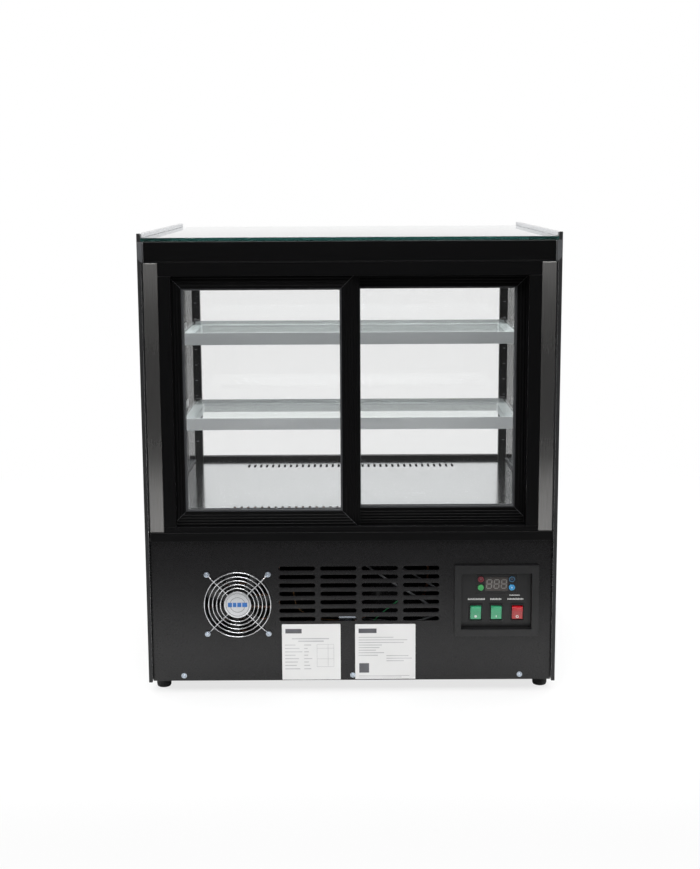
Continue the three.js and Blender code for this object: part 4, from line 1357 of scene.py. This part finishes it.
# %% Cold coil and its fan
cold_low, cold_high = low_high("evaporator_coil")
fins = []
COLD_FIN_PITCH = 4.0 * MM
COLD_TUBES = 5
count = int((cold_high.x - cold_low.x - 12 * MM) / COLD_FIN_PITCH)
for index in range(count):
    x = cold_low.x + 7 * MM + index * COLD_FIN_PITCH
    fin_end = (x + 0.3 * MM, cold_high.y - 6 * MM, cold_high.z - 4.5 * MM)
    fins.append(bar((x, cold_low.y + 6 * MM, cold_low.z + 2 * MM), fin_end))
for x in (cold_low.x + 1 * MM, cold_high.x - 3 * MM):
    fins.append(bar((x, cold_low.y, cold_low.z), (x + 2 * MM, cold_high.y, cold_high.z)))
piece("cold_fins", gather(*fins), shaded_fin_aluminium, "case", ["evaporator_coil"])
tubes = []
for row in range(COLD_TUBES):
    y = cold_low.y + (row + 0.5) * (cold_high.y - cold_low.y) / COLD_TUBES
    z = (cold_low.z + cold_high.z) / 2 + (4 * MM if row % 2 else -8 * MM)
    ends = [(cold_low.x + 0.4 * MM, y, z), (cold_high.x - 0.4 * MM, y, z)]
    tubes.append(wire(ends, 4 * MM, 2, smooth=False))
piece("cold_tubes", gather(*tubes), shaded_copper, "case")

cold_fan_low, cold_fan_high = low_high("evaporator_fan_frame")
COLD_BORE = 43 * MM
COLD_HUB = 17 * MM
middle = (cold_fan_low + cold_fan_high) / 2
fan_top = (middle.x, middle.y, cold_fan_high.z)
cold_depth = cold_fan_high.z - cold_fan_low.z
bm = moved(fan_housing(cold_fan_high.x - cold_fan_low.x, cold_depth, COLD_BORE, COLD_HUB, 82.5 * MM), fan_top)
piece("cold_fan_housing", bm, fan_plastic, "case", ["evaporator_fan_frame"])
bm = moved(fan_rotor(cold_depth, COLD_BORE, COLD_HUB), fan_top)
piece("cold_fan_rotor", bm, fan_plastic, "evaporator_rotor", ["evaporator_fan_rotor"])
print("cold fan depth", cold_depth)

# %% [markdown]
# ## The doorway
# Two brushed steel posts stand at the corners, with black profiles between them: the header, a
# double track above and below, and a jamb on each side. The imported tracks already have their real
# section, so they only need soft edges and drawing lines along their length.

# %% Tracks, jambs and posts
softened_copy("top_track", black_profile["X"], 0.5 * MM)
softened_copy("bottom_track", black_profile["X"], 0.5 * MM)
for side in SIDES:
    softened_copy(f"jamb_{side}", black_profile["Z"], 0.4 * MM)
    softened_copy(f"rear_post_{side}", post_steel, 1.6 * MM, 4)
    softened_copy(f"front_corner_post_{side}", black_profile["Z"], 0.8 * MM)
softened_copy("front_sill", black_profile["X"], 0.8 * MM)

# %% Header with a drip lip, and its bright ends
header_low, header_high = low_high("header_bar")
header = soften(bar(header_low, header_high), 1.0 * MM, 3)
lip_end = (header_high.x, header_low.y + 1 * MM, header_low.z + 1.6 * MM)
lip = soften(bar((header_low.x, header_low.y - 0.8 * MM, header_low.z), lip_end), 0.5 * MM, 3)
piece("header_profile", gather(header, lip), black_profile["X"], "case", ["header_bar"])
for side, sign in SIDES.items():
    span = (header_high.x + 0.15 * MM, header_high.x + 1.3 * MM)
    z = (header_low.z + 0.5 * MM, header_high.z - 1 * MM)
    end = side_bar(sign, span, (header_low.y - 0.4 * MM, header_high.y), z)
    piece(f"header_end_{side}", soften(end, 0.3 * MM), end_aluminium)

# %% Light bar: a folded channel with a frosted lens
lamp_low, lamp_high = low_high("light_bar")
lamp_diffuser = skin_finish("lamp_diffuser", (0.86, 0.86, 0.83), 0.35, 1 * MM, 0.004 * MM, 0.03)
lens_z = lamp_low.z + 4 * MM
channel = soften(bar((lamp_low.x, lamp_low.y, lens_z), lamp_high), 1 * MM, 2)
lens_inset = Vector(mm(6, 2.5, 0))
lens = bar(lamp_low + lens_inset, Vector((lamp_high.x, lamp_high.y, lens_z + 1 * MM)) - lens_inset)
soften(lens, 2 * MM, 4)
piece("light_channel", channel, end_aluminium, "case")
piece("light_lens", lens, lamp_diffuser, "case", ["light_bar"])

# %% [markdown]
# ## Sliding doors
# Each door is four lengths of one ribbed profile, mitred at the corners round a double glazed
# pane. The section is drawn once: its face has five grooves, and its inner edge a rebate for the
# glass. It is extruded, then a plane at 45 degrees trims each end, exactly as a mitre saw does.
# The saw leaves bare metal in the joint, which shows as a thin light line, and a grey bead
# holds the glass.

# %% The door profile
DOOR_FRAME = 30 * MM
DOOR_REBATE = 8 * MM
GROOVES = 5
GROOVE_WIDE = 2.4 * MM
GROOVE_FLOOR = 0.8 * MM
GROOVE_DEEP = 0.9 * MM
MITRE_GAP = 0.3 * MM


def door_section(depth, pane):
    """The profile's outline: w runs inwards from the outer edge, d from the near face."""
    cheek = (depth - pane) / 2 - 0.25 * MM
    near = [(0.0, 0.0)]
    pitch = DOOR_FRAME / (GROOVES + 1)
    for index in range(1, GROOVES + 1):
        middle = index * pitch
        near += [
            (middle - GROOVE_WIDE / 2, 0.0), (middle - GROOVE_FLOOR / 2, GROOVE_DEEP),
            (middle + GROOVE_FLOOR / 2, GROOVE_DEEP), (middle + GROOVE_WIDE / 2, 0.0),
        ]
    far = [(w, depth - d) for w, d in reversed(near)]
    inner = [
        (DOOR_FRAME, 0.0), (DOOR_FRAME, cheek), (DOOR_FRAME - DOOR_REBATE, cheek),
        (DOOR_FRAME - DOOR_REBATE, depth - cheek), (DOOR_FRAME, depth - cheek), (DOOR_FRAME, depth),
    ]
    return near + inner + far


def door_member(length, depth, pane):
    """One mitred length along X, its outer edge at z 0 and its near face at y 0."""
    bm = bmesh.new()
    section = [bm.verts.new((-length / 2, d, w)) for w, d in door_section(depth, pane)]
    bm.faces.new(section)
    grown = bmesh.ops.extrude_face_region(bm, geom=bm.faces[:], use_keep_orig=True)
    far = [v for v in grown["geom"] if isinstance(v, bmesh.types.BMVert)]
    bmesh.ops.translate(bm, vec=(length, 0, 0), verts=far)
    for end in (-1, 1):
        cut = bmesh.ops.bisect_plane(
            bm, geom=bm.verts[:] + bm.edges[:] + bm.faces[:], plane_co=(end * (length / 2 - MITRE_GAP), 0, 0),
            plane_no=(end, 0, 1), clear_outer=True, dist=1e-7,
        )
        rim = [e for e in cut["geom_cut"] if isinstance(e, bmesh.types.BMEdge)]
        bmesh.ops.holes_fill(bm, edges=rim, sides=0)
    bmesh.ops.recalc_face_normals(bm, faces=bm.faces)
    return soften(bm, 0.22 * MM, 2)


# %% Build both doors
DOOR_GLASS = 4 * MM
BEAD = 3.6 * MM
BEAD_LIFT = 2.2 * MM
bead_grey = skin_finish("bead_grey", (0.052, 0.054, 0.058), 0.4, 0.5 * MM, 0.01 * MM, 0.15)
RING_ORDER = ("rail_bottom", "stile_left", "rail_top", "stile_right")


def window_ring(width, height, band, depth):
    """A flat ring facing the service side, centred on the origin: a gasket or a spacer."""
    outline = ((0, 0), (width, height), 0.3 * MM, 4)
    hole = ((0, 0), (width - 2 * band, height - 2 * band), 0.2 * MM, 4)
    return upright(sheet(outline, [hole], depth), 0)


for door in ("left", "right"):
    body = f"door_{door}"
    low = low_high(f"{body}_stile_left")[0]
    high = low_high(f"{body}_stile_right")[1]
    pane_low, pane_high = low_high(f"{body}_pane")
    size = high - low
    middle = (low + high) / 2
    pane_depth = pane_high.y - pane_low.y
    for quarter, member in enumerate(RING_ORDER):
        along, across = (size.x, size.z) if quarter % 2 == 0 else (size.z, size.x)
        bm = door_member(along, size.y, pane_depth)
        bmesh.ops.translate(bm, vec=(0, 0, -across / 2), verts=bm.verts)
        moved(bm, (middle.x, low.y, middle.z), quarter * math.pi / 2, "Y")
        grain_way = black_profile["X" if quarter % 2 == 0 else "Z"]
        piece(f"{body}_{member}_profile", bm, grain_way, body, [f"{body}_{member}"], 25)
    near_sheet = soften(bar(pane_low, (pane_high.x, pane_low.y + DOOR_GLASS, pane_high.z)), 0.4 * MM, 1)
    far_sheet = soften(bar((pane_low.x, pane_high.y - DOOR_GLASS, pane_low.z), pane_high), 0.4 * MM, 1)
    piece(f"{body}_glass", gather(near_sheet, far_sheet), clear_glass, body, [f"{body}_pane"])
    pane_size = pane_high - pane_low
    spacer_depth = pane_depth - 2 * DOOR_GLASS - 0.1 * MM
    spacer = window_ring(pane_size.x - 1 * MM, pane_size.z - 1 * MM, 7 * MM, spacer_depth)
    moved(spacer, (middle.x, pane_low.y + DOOR_GLASS + 0.05 * MM, middle.z))
    piece(f"{body}_glass_spacer", spacer, spacer_grey, body)
    opening = (size.x - 2 * DOOR_FRAME + 0.6 * MM, size.z - 2 * DOOR_FRAME + 0.6 * MM)
    beads = []
    for y in (pane_low.y - BEAD_LIFT, pane_high.y + 0.05 * MM):
        bead = soften(window_ring(*opening, BEAD, BEAD_LIFT - 0.1 * MM), 0.7 * MM, 2)
        beads.append(moved(bead, (middle.x, y, middle.z)))
    piece(f"{body}_glazing_bead", gather(*beads), bead_grey, body)
    mitres = []
    diagonal = DOOR_FRAME * math.sqrt(2) - 1.2 * MM
    for sx in (-1, 1):
        for sz in (-1, 1):
            line = bar((-diagonal / 2, 0.1 * MM, -0.22 * MM), (diagonal / 2, size.y - 0.1 * MM, 0.22 * MM))
            x = middle.x + sx * (size.x - DOOR_FRAME) / 2
            z = middle.z + sz * (size.z - DOOR_FRAME) / 2
            mitres.append(moved(line, (x, low.y, z), -sx * sz * math.pi / 4, "Y"))
    piece(f"{body}_mitre_joints", gather(*mitres), cap_plastic, body)
    print(body, "is", round(size.x, 4), "by", round(size.z, 4))

# %% [markdown]
# ## The glass box
# Outside, each side is one sheet of glass from top to bottom, enamelled black on its back except
# for the window. Inside it stands a second pane, held off by a grey spacer on three sides, so the
# wall is double glazed, and light still comes in between the panes at the front. The top and
# front are single sheets. The rear edge of each side sheet wears a black strip, with a grey
# plastic cap where the header meets it.

# %% Side sheets with their enamel border
ENAMEL = 0.4 * MM
WINDOW_MARGIN = 12 * MM
WINDOW_INSET = 26 * MM
EDGE_STRIP = 1.5 * MM
sill_z = low_high("side_inner_pane_left")[0].z
roof_z = low_high("top_glass")[0].z
pane_rear = low_high("side_inner_pane_left")[0].y
for side, sign in SIDES.items():
    low, high = low_high(f"side_glass_{side}")
    sheet_bm = soften(bar((low.x, low.y + EDGE_STRIP, low.z), high), 0.8 * MM, 2)
    piece(f"side_sheet_{side}", sheet_bm, side_glass, "case", [f"side_glass_{side}"])
    inner_face = abs(high.x if sign < 0 else low.x) - 0.1 * MM
    front_x = max(sign * (inner_face - ENAMEL), sign * inner_face)
    window = (pane_rear + WINDOW_INSET, high.y - WINDOW_INSET, sill_z + WINDOW_MARGIN, roof_z - 14 * MM)
    centre = ((low.y + high.y) / 2, (low.z + high.z) / 2)
    size = (high.y - low.y - 5 * MM, high.z - low.z - 9 * MM)
    hole_centre = ((window[0] + window[1]) / 2, (window[2] + window[3]) / 2)
    hole_size = (window[1] - window[0], window[3] - window[2])
    border = sheet((centre, size, 1 * MM, 8), [(hole_centre, hole_size, 4 * MM, 32)], ENAMEL)
    stand = Matrix(((0, 0, 1), (1, 0, 0), (0, 1, 0)))
    bmesh.ops.rotate(border, cent=(0, 0, 0), matrix=stand, verts=border.verts)
    bmesh.ops.translate(border, vec=(front_x, 0, 0), verts=border.verts)
    piece(f"side_enamel_{side}", border, black_enamel, "case")
    strip_end = (high.x, low.y + EDGE_STRIP - 0.05 * MM, high.z)
    strip = soften(bar((low.x, low.y + 0.5 * MM, low.z + 0.5 * MM), strip_end), 0.4 * MM)
    piece(f"side_edge_strip_{side}", strip, seal_rubber, "case")
    print("side sheet", side, [round(v, 4) for v in low])

# %% Inner panes, spacers and seals
SPACER_WIDE = 14 * MM
for side, sign in SIDES.items():
    low, high = low_high(f"side_inner_pane_{side}")
    softened_copy(f"side_inner_pane_{side}", clear_glass, 0.4 * MM, 1)
    reach = sorted((abs(low.x), abs(high.x)))
    outer = abs(low_high(f"side_glass_{side}")[0 if sign > 0 else 1].x) - 0.7 * MM
    y = (low.y + 1 * MM, low.y + SPACER_WIDE, high.y - 2 * MM)
    z = (low.z + 1 * MM, low.z + SPACER_WIDE, high.z - SPACER_WIDE, high.z - 1 * MM)
    members = [
        soften(side_bar(sign, (reach[1] + 0.2 * MM, outer), y_span, z_span), 0.3 * MM)
        for y_span, z_span in ((y[:2], (z[0], z[3])), (y[1:], z[:2]), (y[1:], z[2:]))
    ]
    piece(f"side_spacer_{side}", gather(*members), spacer_grey, "case")
    seal_z = (deck_high.z + 0.1 * MM, deck_high.z + 2.6 * MM)
    bead = side_bar(sign, (reach[0] - 3 * MM, reach[0] - 0.1 * MM), (deck_low.y, deck_high.y), seal_z)
    piece(f"deck_seal_{side}", soften(bead, 0.9 * MM, 3), seal_rubber)

# %% Ribbed seals between the posts and the side sheets, and the corner caps
SEAL_OUTER = 343.6 * MM
SEAL_RIBS = 2
CAP_SPAN = mm(341.2, 349.2)
CAP_CHAMFER = 7 * MM

for side, sign in SIDES.items():
    post_low, post_high = low_high(f"rear_post_{side}")
    parts = []
    first = max(abs(post_low.x), abs(post_high.x)) + 0.2 * MM
    pitch = (SEAL_OUTER - first) / SEAL_RIBS
    wall_z = (low_high("sill_trim")[1].z + 0.3 * MM, roof_z - 0.4 * MM)
    for index in range(SEAL_RIBS):
        span = (first + index * pitch + 0.1 * MM, first + (index + 1) * pitch - 0.1 * MM)
        rib = side_bar(sign, span, (post_low.y + 1.0 * MM, post_low.y + 7 * MM), wall_z)
        parts.append(soften(rib, 0.3 * MM, 3))
    parts.append(side_bar(sign, (first, SEAL_OUTER), (post_low.y + 3 * MM, post_low.y + 12 * MM), wall_z))
    piece(f"corner_seal_{side}", gather(*parts), seal_rubber)

    low = low_high(f"side_glass_{side}")[0]
    cap_z = (header_low.z - 1 * MM, header_high.z + 0.4 * MM)
    cap = side_bar(sign, CAP_SPAN, (low.y, low.y + 1.4 * MM), cap_z)
    lower = [v for v in cap.verts if v.co.z < header_low.z and abs(v.co.x) > sum(CAP_SPAN) / 2]
    bmesh.ops.translate(cap, vec=(0, 0, CAP_CHAMFER), verts=lower)
    piece(f"corner_cap_{side}", soften(cap, 0.45 * MM, 3), cap_plastic)
print("seals and caps made")

# %% [markdown]
# The top and front sheets keep their packed size. Their sawn edges are ground to a small
# chamfer, which is the bright line round any real table top of glass. Thin aluminium trims
# hide the joint between the top sheet and the side sheets.

# %% Top and front sheets, trims and enamel bands
TRIM_SPAN = mm(341.6, 343.9)
TRIM_TOP = 789.8 * MM
BAND = 20 * MM
BAND_THICK = 0.25 * MM

softened_copy("top_glass", top_glass, 0.7 * MM)
softened_copy("front_glass", clear_glass, 0.6 * MM)
top_low, top_high = low_high("top_glass")
for side, sign in SIDES.items():
    trim = side_bar(sign, TRIM_SPAN, (top_low.y + 0.5 * MM, top_high.y), (top_high.z + 0.1 * MM, TRIM_TOP))
    piece(f"top_trim_{side}", soften(trim, 0.5 * MM, 3), trim_aluminium)
front_low, front_high = low_high("front_glass")
bands = []
for z in (front_low.z + 0.5 * MM + BAND / 2, front_high.z - 0.5 * MM - BAND / 2):
    band = sheet(((0, z), (front_high.x - front_low.x - 2 * MM, BAND), 1 * MM, 8), [], BAND_THICK)
    bands.append(upright(band, front_high.y + 0.05 * MM))
piece("front_enamel", gather(*bands), black_enamel, "case")

# %% [markdown]
# ## Shelves
# A shelf is a steel frame with a low lip on the service side, a glass plate lying on it, and arms
# that reach the slotted corner posts. The near rail and the lip are one folded strip, so the lip
# shows as a bright line above the rail. The far rail has a stop behind the glass. Its steel is a
# darker copy of the rail steel, a painted shade for rails seen through the shelf glass, and the
# upper shelf's near rail is a darker copy of the lower one's, a painted shade as well.

# %% Shelf frames and plates
RAIL_WIDE = 20 * MM
LIP_THICK = 1.5 * MM
ARM_LONG = 30 * MM
CLIP_SPAN = mm(303, 314)

for level in ("upper", "lower"):
    low, high = low_high(f"{level}_shelf_frame")
    glass_low, glass_high = low_high(f"{level}_shelf_glass")
    rail_top = glass_low.z - 0.3 * MM
    back_y = glass_high.y
    strip = soften(bar(low, (high.x, low.y + LIP_THICK, high.z)), 0.6 * MM, 3)
    near_x = high.x - 1 * MM
    near = bar((low.x + 1 * MM, low.y + LIP_THICK, low.z), (near_x, low.y + RAIL_WIDE, rail_top))
    rails = gather(strip, soften(near, 0.7 * MM, 3))
    piece(f"{level}_shelf_rails", rails, near_rail_steel_and_painted_shade[level], "case", [f"{level}_shelf_frame"])
    far = soften(bar((low.x, back_y - RAIL_WIDE, low.z), (high.x, back_y, rail_top)), 0.9 * MM, 3)
    stop_end = (high.x - 4 * MM, back_y + LIP_THICK, glass_high.z)
    stop = soften(bar((low.x + 4 * MM, back_y + 0.3 * MM, rail_top - 2 * MM), stop_end), 0.3 * MM, 2)
    piece(f"{level}_shelf_far_rail", gather(far, stop), far_steel_painted_shade)
    rail_y = (low.y + RAIL_WIDE - 1 * MM, back_y - RAIL_WIDE + 1 * MM)
    rail_z = (low.z + 0.1 * MM, rail_top - 0.1 * MM)
    arm_span = (high.x - 3.5 * MM, high.x - 0.5 * MM)
    arm_z = (low.z + 2 * MM, rail_top - 2 * MM)
    clip_y = (glass_high.y - 9 * MM, glass_high.y + 2 * MM)
    clip_z = (glass_high.z + 0.1 * MM, glass_high.z + 3.2 * MM)
    sides = []
    clips = []
    for sign in SIDES.values():
        sides.append(soften(side_bar(sign, (high.x - RAIL_WIDE, high.x), rail_y, rail_z), 0.7 * MM, 3))
        sides.append(soften(side_bar(sign, arm_span, (back_y - ARM_LONG, high.y), arm_z), 0.5 * MM))
        clips.append(soften(side_bar(sign, CLIP_SPAN, clip_y, clip_z), 0.8 * MM, 2))
    piece(f"{level}_shelf_sides", gather(*sides), shelf_side_steel, "case")
    bm = soften(from_cad(f"{level}_shelf_glass"), 0.8 * MM, 3)
    piece(f"{level}_shelf_plate", bm, shelf_glass, "case", [f"{level}_shelf_glass"])
    piece(f"{level}_shelf_clips", gather(*clips), seal_rubber)
    print(level, "shelf top", round(glass_high.z, 4))

# %% Slots for the shelf arms in the corner posts
POST_SLOT_FIRST = 340 * MM
POST_SLOT_PITCH = 32 * MM
POST_SLOT_COUNT = 13
POST_SLOT_SPAN = mm(315.5, 320.5)
post_face = low_high("front_corner_post_left")[0].y
slots = []
for sign in SIDES.values():
    for index in range(POST_SLOT_COUNT):
        z = POST_SLOT_FIRST + index * POST_SLOT_PITCH
        slot_y = (post_face - 0.12 * MM, post_face - 0.02 * MM)
        slots.append(soften(side_bar(sign, POST_SLOT_SPAN, slot_y, (z, z + 1.6 * MM)), 0.03 * MM, 1))
piece("post_slots", gather(*slots), cap_plastic)
print("post slots:", len(slots))

# %% [markdown]
# ## Floor
# The floor is one large sheet of white paper. In a reflection it turns dark a metre in front of the
# case, as the edge of a studio table does, which leaves a soft gradient on the base panel.
# On a sight line it glows as well, so that it meets the white background without a horizon,
# and only a light contact shadow is left under the case.

# %% Studio floor
FLOOR_HALF = 30.0
TABLE_SHADE = ((-1.12, 0.06), (-0.56, 0.88))
FLOOR_GLOW = ((-1.05, 1.0), (-0.55, 0.76), (0.0, 0.74), (1.6, 1.0))

floor_mesh = bmesh.new()
bmesh.ops.create_grid(floor_mesh, x_segments=1, y_segments=1, size=FLOOR_HALF)
bmesh.ops.translate(floor_mesh, vec=mm(0, 0, -0.2), verts=floor_mesh.verts)
floor_paper = finish("floor_paper", (0.88, 0.88, 0.88), 0.9, Specular_IOR_Level=0.1)
tree = floor_paper.node_tree
shader = tree.nodes["Principled BSDF"]
tree.links.new(along_axis(tree, "Y", TABLE_SHADE), shader.inputs["Base Color"])
share = add_node(tree, "Math", {"operation": "MULTIPLY"})
tree.links.new(along_axis(tree, "Y", FLOOR_GLOW), share.inputs[0])
tree.links.new(sight_line(tree), share.inputs[1])
paper = add_node(tree, "Emission", Strength=1.0)
mix = add_node(tree, "MixShader")
tree.links.new(share.outputs["Value"], mix.inputs["Fac"])
tree.links.new(shader.outputs["BSDF"], mix.inputs[1])
tree.links.new(paper.outputs["Emission"], mix.inputs[2])
tree.links.new(mix.outputs["Shader"], tree.nodes["Material Output"].inputs["Surface"])
mesh = bpy.data.meshes.new("studio_floor")
floor_mesh.to_mesh(mesh)
floor_mesh.free()
mesh.materials.append(floor_paper)
floor = bpy.data.objects.new("studio_floor", mesh)
bpy.context.scene.collection.objects.link(floor)
